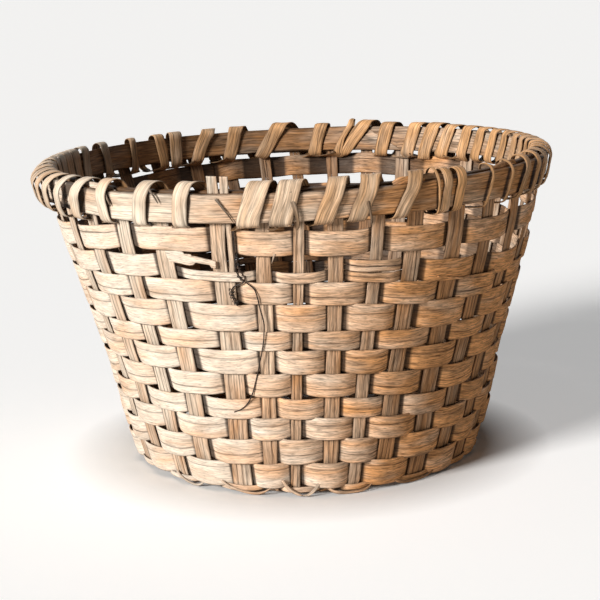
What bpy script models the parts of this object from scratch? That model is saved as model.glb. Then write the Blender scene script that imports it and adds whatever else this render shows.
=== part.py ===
"""Old splint cotton basket at full size: metres, +Z up.

The origin lies on the bench under the middle of the bottom. The bottom splints run along X and Y,
so the bottom is a rounded square whose corners lie between the axes. Every splint is one long strip:
it climbs one wall, crosses the bottom over and under the splints of the other set, and climbs the
opposite wall. Rows of weaver splint go round the wall, over one stake and under the next. Two flat
hoops clamp the stake ends at the mouth, and a splint lashing is wound round the hoops.
"""
import math

import bmesh
import bpy
import numpy as np

# Overall size
RIM_HEIGHT = 0.287
RIM_RADIUS = 0.2355
BASE_HALF_SIDE = 0.1605
BASE_SQUARENESS = 2.1

# The mouth has warped: one side stands higher, and the hoops have drifted sideways and turned
WARP_DIRECTION = math.radians(44.0)
RIM_RISE_PER_METRE = 0.0145
RIM_DRIFT = 0.0056
RIM_TWIST = math.radians(3.4)

# Shares of the wall's flare that are reached at shares of its height
FLARE_HEIGHTS = (0.0, 0.16, 0.35, 0.60, 0.80, 1.0)
FLARE_SHARES = (0.0, 0.18, 0.336, 0.620, 0.851, 1.0)

# Splint stock and the clearance between two splints that touch
STAKE_THICKNESS = 0.0016
WEAVER_THICKNESS = 0.0012
CLEARANCE = 0.0003

# Stakes: distance of each bottom splint from the middle line as a share of the bottom's half side, the
# one by the front corner first, its width in each set, and its angle from a corner at the mouth
STAKE_PLACE_SHARES = (0.648, 0.539, 0.389, 0.168, -0.030, -0.237, -0.411, -0.548, -0.648)
X_STAKE_WIDTHS = (0.0130, 0.0115, 0.0160, 0.0185, 0.0165, 0.0150, 0.0145, 0.0125, 0.0120)
Y_STAKE_WIDTHS = (0.0090, 0.0130, 0.0190, 0.0170, 0.0160, 0.0165, 0.0140, 0.0125, 0.0120)
X_RIM_DEGREES = (3.9, 13.3, 21.8, 32.3, 42.5, 54.0, 65.5, 75.5, 85.9)
Y_RIM_DEGREES = (3.3, 10.9, 19.7, 34.0, 44.2, 55.0, 65.5, 75.5, 85.9)
STAKE_TOP_BELOW_RIM = 0.003
PROUD_STAKE = ("y", 3)
PROUD_STAKE_ABOVE_RIM = 0.014

# The turn from the bottom into the wall
TURN_INSET = 0.0045
TURN_HEIGHT = 0.0045

# Rows of weaver, bottom row first: relative widths, and the clear space under each row
ROW_WIDTHS = (24.3, 23.4, 20.2, 18.2, 21.2, 21.7, 17.4, 24.3, 19.8, 21.2, 20.6)
ROW_SPACE = 0.0007
WIDE_SPACES = {5: 0.0034, 11: 0.0024}
BASE_WEAVER_WIDTH = 0.0055
BASE_WEAVER_SPACE = 0.0005
SPACE_UNDER_RIM = 0.0105
LAP_STAKES = 2
LAP_STARTS = (14, 21, 9, 18, 25, 12, 19, 8, 23, 16, 11, 20)

# The broken row: its upper part is missing along the front
BROKEN_ROW = 10
BROKEN_STAKES = (33, 34, 35, 0)
BROKEN_HEIGHT_LEFT = 0.46
BREAK_STEP = 0.05

# Hoops, and the strip hidden between them
HOOP_HEIGHT = 0.025
HOOP_THICKNESS = 0.0046
HOOP_EDGE_ROUNDING = 0.0012
HEADER_TOP_BELOW_RIM = 0.009
HEADER_WIDTH = 0.012
OUTER_SCARF_STAKE = 29
INNER_SCARF_STAKE = 14
SCARF_LENGTH = 0.045
SCARF_GAP = 0.0006

# Lashing: wraps in the gap after each stake, in ring order
LASHING_THICKNESS = 0.0010
LASHING_CLEARANCE = 0.0008
LASHING_WIDTH = 0.013
LASHING_NARROW_WIDTH = 0.0082
LASHING_PAIR_SPACE = 0.0012
LASHING_ARCH = 0.0045
DOUBLE_WRAP_GAPS = (3, 4, 5, 6, 7, 8, 10, 25, 26, 27, 28)
LASHING_PIECES = 4
# Share of the advance from one wrap to the next that is reached at each corner of the wrap; the wrap
# before the proud stake turns over the hoops before it reaches the stake
WRAP_ADVANCE = (0.0, 0.20, 0.30, 0.44, 0.56, 1.0)
EARLY_WRAP_ADVANCE = (0.0, 0.03, 0.06, 0.10, 0.14, 1.0)

# Wire tied round the top row beside the proud stake. Each point of the tie gives its distance past the
# stake's edge, its height over the top row's lower edge as a share of that row's height, and its
# stand-off from the middle of the top row's splint. Distances are in steps of the wire's diameter
WIRE_DIAMETER = 0.0011
WIRE_POINT_SPACING = 0.0026
TIE_ROUTE = (
    (8.2, -1.00, 5.5), (5.1, -0.86, 5.3), (3.1, -0.60, 4.8), (2.2, -0.34, 3.6), (1.9, -0.05, 2.3),
    (1.8, 0.40, 1.7), (1.8, 0.84, 1.7), (1.8, 1.04, 1.2), (1.8, 1.12, 0.0), (1.9, 1.04, -1.2),
    (1.9, 0.84, -1.7), (2.0, 0.30, -1.7), (2.1, -0.12, -1.3), (2.4, -0.30, 0.2), (3.3, -0.38, 1.9),
    (4.8, -0.48, 3.2), (6.8, -0.69, 3.6), (8.9, -0.92, 4.0), (7.3, -1.11, 4.3), (3.6, -1.21, 4.5),
    (0.0, -1.30, 4.5), (-2.5, -1.46, 4.4), (-2.9, -1.66, 4.2), (-2.0, -1.86, 4.2), (-0.4, -2.02, 4.4),
    (1.6, -2.06, 4.9), (2.4, -1.97, 5.5),
)

# Route of the wire's free end, from the tie down the wall
TAIL_ROUTE = (
    (0.1162, -0.1920, 0.2087), (0.1192, -0.1890, 0.2058), (0.1216, -0.1852, 0.2014),
    (0.1224, -0.1825, 0.1936), (0.1214, -0.1791, 0.1836), (0.1210, -0.1748, 0.1707),
    (0.1190, -0.1730, 0.1600), (0.1154, -0.1710, 0.1492), (0.1093, -0.1695, 0.1335),
    (0.1035, -0.1681, 0.1191), (0.0959, -0.1670, 0.1019), (0.0897, -0.1676, 0.0919),
    (0.0832, -0.1693, 0.0861), (0.0770, -0.1716, 0.0832),
)

STAKE_PLACES = [BASE_HALF_SIDE * share for share in STAKE_PLACE_SHARES]
STAKES_PER_SIDE = len(STAKE_PLACES)
RING = 4 * STAKES_PER_SIDE
STAKE_HALF = STAKE_THICKNESS / 2
WEAVER_HALF = WEAVER_THICKNESS / 2
WEAVE_OFFSET = STAKE_HALF + CLEARANCE + WEAVER_HALF
LAP_OFFSET = WEAVER_THICKNESS + CLEARANCE + 0.0001
BOTTOM_MIDDLE = STAKE_THICKNESS + CLEARANCE / 2
PLAIT_OFFSET = (STAKE_THICKNESS + CLEARANCE) / 2
HOOP_INNER_FACE = STAKE_HALF + CLEARANCE + WEAVER_THICKNESS + CLEARANCE
HOOP_MIDDLE = HOOP_INNER_FACE + HOOP_THICKNESS / 2
HOOP_FACE = HOOP_INNER_FACE + HOOP_THICKNESS
UP = np.array([0.0, 0.0, 1.0])
WARP_ACROSS = np.array([math.cos(WARP_DIRECTION), math.sin(WARP_DIRECTION), 0.0])

# Colour, roughness and metallic value of each kind of piece
STAKE_OAK = ((0.42, 0.29, 0.18, 1.0), 0.75, 0.0)
WEAVER_OAK = ((0.50, 0.36, 0.24, 1.0), 0.72, 0.0)
HEADER_OAK = ((0.30, 0.20, 0.13, 1.0), 0.80, 0.0)
HOOP_OAK = ((0.40, 0.27, 0.17, 1.0), 0.70, 0.0)
LASHING_OAK = ((0.46, 0.33, 0.21, 1.0), 0.72, 0.0)
DARK_STEEL = ((0.10, 0.095, 0.09, 1.0), 0.55, 1.0)


def clear_scene():
    for obj in list(bpy.data.objects):
        bpy.data.objects.remove(obj, do_unlink=True)


def make_collection(name):
    collection = bpy.data.collections.new(name)
    bpy.context.scene.collection.children.link(collection)
    return collection


def make_material(name, finish):
    colour, roughness, metallic = finish
    material = bpy.data.materials.new(name)
    material.use_nodes = True
    shader = material.node_tree.nodes["Principled BSDF"]
    shader.inputs["Base Color"].default_value = colour
    shader.inputs["Roughness"].default_value = roughness
    shader.inputs["Metallic"].default_value = metallic
    return material


def unit(vector):
    return vector / np.linalg.norm(vector)


# The wall's middle surface

def wall_radius(share):
    return BASE_HALF_SIDE + (RIM_RADIUS - BASE_HALF_SIDE) * np.interp(share, FLARE_HEIGHTS, FLARE_SHARES)


def squareness(share):
    """Exponent of the plan outline: a rounded square at the bottom, a circle at the mouth."""
    return 2.0 + (BASE_SQUARENESS - 2.0) * max(1.0 - share, 0.0) ** 1.3


def lift(point, share):
    """Height of a point of the wall, with the mouth's tilt growing from the bottom up."""
    return share * (RIM_HEIGHT + RIM_RISE_PER_METRE * float(np.dot(point, WARP_ACROSS)))


def wall_point(angle, share):
    power = squareness(share)
    around = abs(math.cos(angle)) ** power + abs(math.sin(angle)) ** power
    radius = wall_radius(share) / around ** (1.0 / power)
    point = np.array([radius * math.cos(angle), radius * math.sin(angle), 0.0])
    height = lift(point, share)
    point = point - RIM_DRIFT * share ** 3 * WARP_ACROSS
    point[2] = height
    return point


def facing(angle, share):
    """Angle of the plan outline's outward normal."""
    power = squareness(share) - 1.0
    across = math.copysign(abs(math.cos(angle)) ** power, math.cos(angle))
    along = math.copysign(abs(math.sin(angle)) ** power, math.sin(angle))
    return math.atan2(along, across)


def bottom_edge(place):
    """Distance from the middle line to the bottom's outline at a splint's place."""
    rest = 1.0 - (abs(place) / BASE_HALF_SIDE) ** BASE_SQUARENESS
    return BASE_HALF_SIDE * rest ** (1.0 / BASE_SQUARENESS)


# Heights up the wall, as shares of the rim's height

def row_edges():
    """Lower and upper edge of each row: the rows share the wall between the bottom turn and the rim."""
    count = len(ROW_WIDTHS)
    spaces = [WIDE_SPACES.get(row, ROW_SPACE) for row in range(1, count + 1)]
    start = TURN_HEIGHT + BASE_WEAVER_SPACE + BASE_WEAVER_WIDTH
    room = RIM_HEIGHT - HOOP_HEIGHT - SPACE_UNDER_RIM - start - sum(spaces)
    height = start
    edges = []
    for space, width in zip(spaces, ROW_WIDTHS):
        low = height + space
        height = low + room * width / sum(ROW_WIDTHS)
        edges.append((low / RIM_HEIGHT, height / RIM_HEIGHT))
    return edges


ROW_EDGES = row_edges()
TURN_SHARE = TURN_HEIGHT / RIM_HEIGHT
HOOP_BOTTOM_SHARE = 1.0 - HOOP_HEIGHT / RIM_HEIGHT
STAKE_TOP_SHARE = 1.0 - STAKE_TOP_BELOW_RIM / RIM_HEIGHT
PROUD_SHARE = 1.0 + PROUD_STAKE_ABOVE_RIM / RIM_HEIGHT


def bend_shares():
    """A stake bends only between two rows, so each row lies flat on a flat length of stake."""
    shares = [TURN_SHARE]
    for row in (1, 3, 5, 8):
        shares.append((ROW_EDGES[row - 1][1] + ROW_EDGES[row][0]) / 2)
    shares.append((ROW_EDGES[-1][1] + HOOP_BOTTOM_SHARE) / 2)
    shares.append(STAKE_TOP_SHARE)
    return shares


BEND_SHARES = bend_shares()


# Stake ends in the order in which a weaver meets them

def stake_width(set_name, number):
    widths = X_STAKE_WIDTHS if set_name == "x" else Y_STAKE_WIDTHS
    return widths[number - 1]


def ring_order():
    """Set name, splint number, side angle and turning sense of each stake end, from the front corner on."""
    forward = range(1, STAKES_PER_SIDE + 1)
    backward = range(STAKES_PER_SIDE, 0, -1)
    ring = [("x", number, 0.0, -1) for number in forward]
    ring += [("y", number, 90.0, -1) for number in forward]
    ring += [("x", number, 180.0, 1) for number in backward]
    ring += [("y", number, 270.0, 1) for number in backward]
    return ring


def end_rails(set_name, number, side_degrees, sense):
    """Both edges of a stake end at each bend: the edge met first, then the edge met second."""
    place = STAKE_PLACES[number - 1]
    side = math.radians(side_degrees)
    low_angle = side + sense * math.atan2(place, bottom_edge(place))
    from_corner = (X_RIM_DEGREES if set_name == "x" else Y_RIM_DEGREES)[number - 1]
    rim_angle = side + sense * math.radians(45.0 - from_corner) + RIM_TWIST
    half = stake_width(set_name, number) / 2
    rails = []
    for share in BEND_SHARES:
        angle = low_angle + (rim_angle - low_angle) * share
        centre = wall_point(angle, share)
        turn = facing(angle, share)
        along = np.array([-math.sin(turn), math.cos(turn), 0.0])
        pair = []
        for sign in (-1, 1):
            point = centre + sign * half * along
            drifted = point + RIM_DRIFT * share ** 3 * WARP_ACROSS
            point[2] = lift(np.array([drifted[0], drifted[1], 0.0]), share)
            pair.append(point)
        rails.append(pair)
    return np.array(rails)


RING_ENDS = ring_order()
RAILS = [end_rails(*end) for end in RING_ENDS]


def edge_point(ring_index, edge, share):
    """A point on one edge of a stake end at a share of the height, on the stake's own straight lengths."""
    rail = RAILS[ring_index % RING][:, edge]
    if share > BEND_SHARES[-1]:
        slope = (rail[-1] - rail[-2]) / (BEND_SHARES[-1] - BEND_SHARES[-2])
        return rail[-1] + slope * (share - BEND_SHARES[-1])
    return np.array([np.interp(share, BEND_SHARES, rail[:, axis]) for axis in range(3)])


def end_normal(ring_index, share):
    """Outward normal of a stake end at a share of the height."""
    step = 0.01
    low = min(max(share - step, TURN_SHARE), STAKE_TOP_SHARE - 2 * step)
    first = edge_point(ring_index, 0, share)
    second = edge_point(ring_index, 1, share)
    rise = edge_point(ring_index, 0, low + 2 * step) - edge_point(ring_index, 0, low)
    return unit(np.cross(second - first, rise))


def height_share(ring_index, edge, below_rim):
    """Share of the height that lies a given distance under the rim at this stake edge."""
    top = edge_point(ring_index, edge, 1.0)
    return 1.0 - below_rim / top[2]


# Making strips

def link(obj, collection, finish):
    collection.objects.link(obj)
    obj.data.materials.append(make_material(f"{obj.name}_surface", finish))
    return obj


def add_modifier(obj, name, kind, **settings):
    modifier = obj.modifiers.new(name, kind)
    for key, value in settings.items():
        setattr(modifier, key, value)
    return modifier


def make_strip(name, stations, thickness, collection, finish, closed=False):
    """A splint: quads between pairs of edge points, thickened evenly to both sides."""
    mesh = bpy.data.meshes.new(name)
    builder = bmesh.new()
    pairs = [[builder.verts.new(point) for point in pair] for pair in stations]
    steps = list(zip(pairs, pairs[1:]))
    if closed:
        steps.append((pairs[-1], pairs[0]))
    for here, there in steps:
        builder.faces.new((here[0], there[0], there[1], here[1]))
    builder.to_mesh(mesh)
    builder.free()
    strip = link(bpy.data.objects.new(name, mesh), collection, finish)
    add_modifier(strip, "Thickness", "SOLIDIFY", thickness=thickness, offset=0.0, use_even_offset=True)
    return strip


# Stakes

def across_points(set_name, along, place, half, height):
    """Both edges of a bottom splint at a distance along it, the lower coordinate first."""
    if set_name == "x":
        return [np.array([along, -place - half, height]), np.array([along, -place + half, height])]
    return [np.array([place - half, along, height]), np.array([place + half, along, height])]


def turn_pair(set_name, place, half, sign):
    """Where the bottom splint leaves the bottom: its fold follows the bottom's outline."""
    pair = across_points(set_name, 0.0, place, half, BOTTOM_MIDDLE)
    axis = 0 if set_name == "x" else 1
    for point in pair:
        point[axis] = sign * (bottom_edge(point[1 - axis]) - TURN_INSET)
    return pair


def wall_pairs(ring_index, swap, top_share):
    """Edge pairs of a stake end from the bottom turn up to its top."""
    shares = BEND_SHARES[:-1] + [top_share]
    order = (1, 0) if swap else (0, 1)
    return [[edge_point(ring_index, edge, share) for edge in order] for share in shares]


def stake_top(set_name, number, at_front):
    proud = (set_name, number) == PROUD_STAKE and at_front
    return PROUD_SHARE if proud else STAKE_TOP_SHARE


def bottom_pairs(set_name, number):
    """Edge pairs across the bottom, over and under the splints of the other set."""
    place = STAKE_PLACES[number - 1]
    half = stake_width(set_name, number) / 2
    other = "y" if set_name == "x" else "x"
    crossings = []
    for crossed in range(1, STAKES_PER_SIDE + 1):
        at = STAKE_PLACES[crossed - 1] if other == "y" else -STAKE_PLACES[crossed - 1]
        over = (number + crossed) % 2 == (0 if set_name == "x" else 1)
        height = BOTTOM_MIDDLE + (PLAIT_OFFSET if over else -PLAIT_OFFSET)
        crossed_half = stake_width(other, crossed) / 2
        crossings.append((at - crossed_half, height))
        crossings.append((at + crossed_half, height))
    crossings.sort()
    pairs = [turn_pair(set_name, place, half, -1)]
    pairs += [across_points(set_name, along, place, half, height) for along, height in crossings]
    pairs.append(turn_pair(set_name, place, half, 1))
    return pairs


def make_stake(set_name, number, collection):
    ends = {end[2]: index for index, end in enumerate(RING_ENDS) if end[:2] == (set_name, number)}
    low_side, high_side = (180.0, 0.0) if set_name == "x" else (270.0, 90.0)
    low_swap, high_swap = (True, False) if set_name == "x" else (False, True)
    low = wall_pairs(ends[low_side], low_swap, stake_top(set_name, number, set_name == "y"))
    high = wall_pairs(ends[high_side], high_swap, stake_top(set_name, number, set_name == "x"))
    stations = low[::-1] + bottom_pairs(set_name, number) + high
    name = f"stake_{set_name}_{number}"
    return make_strip(name, stations, STAKE_THICKNESS, collection, STAKE_OAK)


# Weavers

def lap_offset(sign, at_start, at_end):
    """Where a row's ends lie on each other, its first end goes inside and its last end outside."""
    offset = sign * WEAVE_OFFSET
    if at_start and sign < 0:
        offset -= LAP_OFFSET
    if at_end and sign > 0:
        offset += LAP_OFFSET
    return offset


def row_stations(row, low_share, high_share):
    """Edge pairs of a row from lap to lap, each with the ring index of the stake that it crosses."""
    start = LAP_STARTS[row]
    stations = []
    for step in range(RING + LAP_STAKES):
        index = (start + step) % RING
        sign = 1 if (index + row) % 2 == 1 else -1
        offset = lap_offset(sign, step < LAP_STAKES, step >= RING)
        for edge in (0, 1):
            pair = []
            for share in (low_share, high_share):
                push = end_normal(index, share) * offset
                pair.append(edge_point(index, edge, share) + push)
            stations.append((index, edge, pair))
    return stations


def narrowed(pair):
    low, high = pair
    return [low, low + (high - low) * BROKEN_HEIGHT_LEFT]


def between(first, second, share):
    return [a + (b - a) * share for a, b in zip(first, second)]


def break_row(stations):
    """Take the upper part off the stretch of row that is broken, with a short step at each break."""
    pairs = []
    for (index, edge, pair), (next_index, _, next_pair) in zip(stations, stations[1:]):
        broken = index in BROKEN_STAKES
        pairs.append(narrowed(pair) if broken else pair)
        if broken != (next_index in BROKEN_STAKES):
            before = between(pair, next_pair, 0.5 - BREAK_STEP)
            after = between(pair, next_pair, 0.5 + BREAK_STEP)
            pairs.append(narrowed(before) if broken else before)
            pairs.append(after if broken else narrowed(after))
    pairs.append(stations[-1][2])
    return pairs


def make_weavers(collection):
    for row, (low_share, high_share) in enumerate(ROW_EDGES, start=1):
        stations = row_stations(row, low_share, high_share)
        if row == BROKEN_ROW:
            pairs = break_row(stations)
        else:
            pairs = [pair for _, _, pair in stations]
        make_strip(f"weaver_row_{row:02d}", pairs, WEAVER_THICKNESS, collection, WEAVER_OAK)
    low_share = TURN_SHARE + BASE_WEAVER_SPACE / RIM_HEIGHT
    high_share = low_share + BASE_WEAVER_WIDTH / RIM_HEIGHT
    pairs = [pair for _, _, pair in row_stations(0, low_share, high_share)]
    make_strip("base_weaver", pairs, WEAVER_THICKNESS, collection, WEAVER_OAK)


# Rim

def rim_pair(index, edge, offset, low_below, high_below):
    pair = []
    for below in (low_below, high_below):
        share = height_share(index, edge, below)
        pair.append(edge_point(index, edge, share) + end_normal(index, 1.0) * offset)
    return pair


def make_header(collection):
    """The strip hidden between the hoops that locks the stake tops; it stops short of a full turn."""
    pairs = []
    low_below = HEADER_TOP_BELOW_RIM + HEADER_WIDTH
    for index in range(RING):
        offset = WEAVE_OFFSET if index % 2 == 0 else -WEAVE_OFFSET
        for edge in (0, 1):
            pairs.append(rim_pair(index, edge, offset, low_below, HEADER_TOP_BELOW_RIM))
    make_strip("rim_header_weaver", pairs, WEAVER_THICKNESS, collection, HEADER_OAK)


def rim_frame(index, edge):
    """Middle of the hoop height at a stake edge, with directions along, out and up."""
    centre = (edge_point(index, edge, 1.0) + edge_point(index, edge, HOOP_BOTTOM_SHARE)) / 2
    out = end_normal(index, 1.0)
    along = unit(edge_point(index, 1, 1.0) - edge_point(index, 0, 1.0))
    return centre, along, out, np.cross(out, along)


def make_scarf_cutter(name, index, offset, collection):
    """A thin slanted blade through a hoop in the gap after a stake."""
    centre, along, out, up = rim_frame(index, 1)
    after = rim_frame((index + 1) % RING, 0)[0]
    centre = (centre + after) / 2 + out * offset
    slope = math.atan2(HOOP_HEIGHT, SCARF_LENGTH)
    direction = along * math.cos(slope) + up * math.sin(slope)
    across = np.cross(out, direction)
    length = math.hypot(HOOP_HEIGHT, SCARF_LENGTH) * 1.3
    mesh = bpy.data.meshes.new(name)
    builder = bmesh.new()
    bmesh.ops.create_cube(builder, size=1.0)
    for vertex in builder.verts:
        local = direction * vertex.co.x * length + across * vertex.co.y * SCARF_GAP
        vertex.co = centre + local + out * vertex.co.z * 2.2 * HOOP_THICKNESS
    builder.to_mesh(mesh)
    builder.free()
    cutter = bpy.data.objects.new(name, mesh)
    collection.objects.link(cutter)
    cutter.hide_render = True
    cutter.display_type = "WIRE"
    return cutter


def make_hoop(name, side, scarf_stake, collection, cutters):
    pairs = []
    for index in range(RING):
        for edge in (0, 1):
            pairs.append(rim_pair(index, edge, side * HOOP_MIDDLE, HOOP_HEIGHT, 0.0))
    hoop = make_strip(name, pairs, HOOP_THICKNESS, collection, HOOP_OAK, closed=True)
    rounding = {"width": HOOP_EDGE_ROUNDING, "segments": 1, "limit_method": "ANGLE"}
    add_modifier(hoop, "Edges", "BEVEL", angle_limit=math.radians(50), **rounding)
    cutter = make_scarf_cutter(f"{name}_scarf_cutter", scarf_stake, side * HOOP_MIDDLE, cutters)
    add_modifier(hoop, "Scarf", "BOOLEAN", operation="DIFFERENCE", solver="EXACT", object=cutter)
    return hoop


# Lashing

def rim_ring(below):
    """Points of the wall's middle surface round the rim at a distance under its top, with normals."""
    points = []
    normals = []
    for index in range(RING):
        for edge in (0, 1):
            points.append(edge_point(index, edge, height_share(index, edge, below)))
            normals.append(end_normal(index, 1.0))
    return np.array(points), np.array(normals)


TOP_POINTS, RING_NORMALS = rim_ring(0.0)
BOTTOM_POINTS, _ = rim_ring(HOOP_HEIGHT)
RING_STEPS = np.linalg.norm(np.roll(TOP_POINTS, -1, axis=0) - TOP_POINTS, axis=1)
RING_DISTANCES = np.concatenate([[0.0], np.cumsum(RING_STEPS)])


def on_ring(points, distance):
    distance = distance % RING_DISTANCES[-1]
    closed = np.vstack([points, points[:1]])
    return np.array([np.interp(distance, RING_DISTANCES, closed[:, axis]) for axis in range(3)])


def wrap_positions():
    """Distance round the rim, width and advance of each wrap: one or two in the gap after each stake."""
    proud_index = RING_ENDS.index((*PROUD_STAKE, 270.0, 1))
    wraps = []
    for index in range(RING):
        middle = (RING_DISTANCES[2 * index + 1] + RING_DISTANCES[2 * index + 2]) / 2
        advance = EARLY_WRAP_ADVANCE if index + 1 == proud_index else WRAP_ADVANCE
        if index in DOUBLE_WRAP_GAPS:
            apart = (LASHING_NARROW_WIDTH + LASHING_PAIR_SPACE) / 2
            wraps.append((middle - apart, LASHING_NARROW_WIDTH, advance))
            wraps.append((middle + apart, LASHING_NARROW_WIDTH, advance))
        else:
            wraps.append((middle, LASHING_WIDTH, advance))
    return wraps


def wrap_corners():
    """Stand-off from the wall, height over the hoop's edge, and which hoop edge, at each wrap corner."""
    side = HOOP_FACE + LASHING_CLEARANCE + LASHING_THICKNESS / 2
    over = LASHING_CLEARANCE + LASHING_THICKNESS / 2
    arch = LASHING_ARCH + LASHING_THICKNESS / 2
    return (
        (side, -over, BOTTOM_POINTS),
        (side, over, TOP_POINTS),
        (HOOP_MIDDLE, arch, TOP_POINTS),
        (-HOOP_MIDDLE, arch, TOP_POINTS),
        (-side, over, TOP_POINTS),
        (-side, -over, BOTTOM_POINTS),
    )


def wrap_pair(distance, width, corner):
    stand_off, height, points = corner
    pair = []
    for sign in (-1, 1):
        at = distance + sign * width / 2
        out = unit(on_ring(RING_NORMALS, at))
        pair.append(on_ring(points, at) + out * stand_off + UP * height)
    return pair


def make_lashing(collection):
    """The lashing climbs each wrap outside, arches over the hoops, comes down inside and goes through
    the wall under the hoops, always in a gap between two stakes."""
    wraps = wrap_positions()
    total = RING_DISTANCES[-1]
    corners = wrap_corners()
    per_piece = math.ceil(len(wraps) / LASHING_PIECES)
    for piece in range(LASHING_PIECES):
        stations = []
        for number in range(piece * per_piece, min((piece + 1) * per_piece, len(wraps))):
            start, width, advances = wraps[number]
            following, next_width, _ = wraps[(number + 1) % len(wraps)]
            if number + 1 == len(wraps):
                following += total
            for advance, corner in zip(advances, corners):
                here = start + (following - start) * advance
                there = width + (next_width - width) * advance
                stations.append(wrap_pair(here, there, corner))
        make_strip(f"lashing_{piece + 1}", stations, LASHING_THICKNESS, collection, LASHING_OAK)


# Wire

def smooth_route(points, spacing):
    """Points at an even spacing along a smooth curve through the route's points."""
    points = np.array(points)
    ends = np.vstack([2 * points[0] - points[1], points, 2 * points[-1] - points[-2]])
    steps = np.linspace(0.0, 1.0, 24, endpoint=False)[:, None]
    curve = []
    for before, here, there, after in zip(ends, ends[1:], ends[2:], ends[3:]):
        linear = (there - before) / 2
        square = before - 2.5 * here + 2 * there - after / 2
        cube = (after - before) / 2 + 1.5 * (here - there)
        curve.append(here + linear * steps + square * steps ** 2 + cube * steps ** 3)
    curve = np.vstack(curve + [points[-1:]])
    travelled = np.concatenate([[0.0], np.cumsum(np.linalg.norm(np.diff(curve, axis=0), axis=1))])
    count = max(int(round(travelled[-1] / spacing)), 2) + 1
    marks = np.linspace(0.0, travelled[-1], count)
    return np.stack([np.interp(marks, travelled, curve[:, axis]) for axis in range(3)], axis=1)


def make_wire(name, route, collection):
    points = smooth_route(route, WIRE_POINT_SPACING)
    curve = bpy.data.curves.new(name, "CURVE")
    curve.dimensions = "3D"
    curve.bevel_depth = WIRE_DIAMETER / 2
    curve.bevel_resolution = 2
    curve.use_fill_caps = True
    spline = curve.splines.new("POLY")
    spline.points.add(len(points) - 1)
    for target, point in zip(spline.points, points):
        target.co = (*point, 1.0)
    return link(bpy.data.objects.new(name, curve), collection, DARK_STEEL)


def top_row_point(index, past_edge, share):
    """A point on the middle of the top row's splint, past a stake's edge, with its outward direction.

    The splint crosses from one side of this stake to the other side of the next one."""
    sign = 1 if (index + len(ROW_WIDTHS)) % 2 == 1 else -1
    here = edge_point(index, 1, share) + end_normal(index, share) * sign * WEAVE_OFFSET
    there = edge_point(index + 1, 0, share) - end_normal(index + 1, share) * sign * WEAVE_OFFSET
    along = unit(there - here)
    rise = edge_point(index, 1, share + 0.01) - edge_point(index, 1, share)
    return here + along * past_edge, unit(np.cross(along, rise))


def tie_points():
    """The tie's route in space: it leaves the knot, loops over and behind the top row, and comes back."""
    index = RING_ENDS.index((*PROUD_STAKE, 270.0, 1))
    low, high = ROW_EDGES[-1]
    points = []
    for past_edge, row_share, stand_off in TIE_ROUTE:
        share = low + (high - low) * row_share
        middle, out = top_row_point(index, past_edge * WIRE_DIAMETER, share)
        points.append(middle + out * stand_off * WIRE_DIAMETER)
    return points


def main():
    clear_scene()
    parts = make_collection("cotton_basket")
    cutters = make_collection("cutters")
    for set_name in ("x", "y"):
        for number in range(1, STAKES_PER_SIDE + 1):
            make_stake(set_name, number, parts)
    make_weavers(parts)
    make_header(parts)
    make_hoop("rim_hoop_outer", 1, OUTER_SCARF_STAKE, parts, cutters)
    make_hoop("rim_hoop_inner", -1, INNER_SCARF_STAKE, parts, cutters)
    make_lashing(parts)
    make_wire("wire_tie", tie_points(), parts)
    make_wire("wire_tail", TAIL_ROUTE, parts)


main()
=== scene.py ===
"""Looks of the old splint cotton basket: every splint, hoop, wrap and wire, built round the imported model.

Metres, +Z up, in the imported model's frame. A splint is a thin strip carried along a path: each piece
below is worked out as whole arrays and put into one mesh, with the grain's direction stored on it.
"""
import math

import bpy
import numpy as np
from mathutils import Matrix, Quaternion, Vector


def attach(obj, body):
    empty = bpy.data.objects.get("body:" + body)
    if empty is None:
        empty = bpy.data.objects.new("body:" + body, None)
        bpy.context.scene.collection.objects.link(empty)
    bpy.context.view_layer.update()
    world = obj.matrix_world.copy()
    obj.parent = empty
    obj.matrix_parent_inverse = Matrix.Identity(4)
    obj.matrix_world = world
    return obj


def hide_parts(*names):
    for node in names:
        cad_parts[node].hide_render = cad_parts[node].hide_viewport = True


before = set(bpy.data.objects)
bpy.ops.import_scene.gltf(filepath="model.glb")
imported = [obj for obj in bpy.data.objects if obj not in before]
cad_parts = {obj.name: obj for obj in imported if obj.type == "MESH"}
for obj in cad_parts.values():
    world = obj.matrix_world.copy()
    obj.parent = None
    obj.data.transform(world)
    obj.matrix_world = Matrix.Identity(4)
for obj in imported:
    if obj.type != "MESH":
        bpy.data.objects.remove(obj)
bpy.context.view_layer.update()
BODY = "root"

# Overall size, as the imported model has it
RIM_HEIGHT = 0.287
RIM_RADIUS = 0.2355
BASE_HALF_SIDE = 0.1605
BASE_SQUARENESS = 2.1
WARP_DIRECTION = math.radians(44.0)
RIM_RISE_PER_METRE = 0.0145
RIM_DRIFT = 0.0056
RIM_TWIST = math.radians(3.4)
FLARE_HEIGHTS = (0.0, 0.16, 0.35, 0.6, 0.8, 1.0)
FLARE_SHARES = (0.0, 0.18, 0.336, 0.62, 0.851, 1.0)

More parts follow.
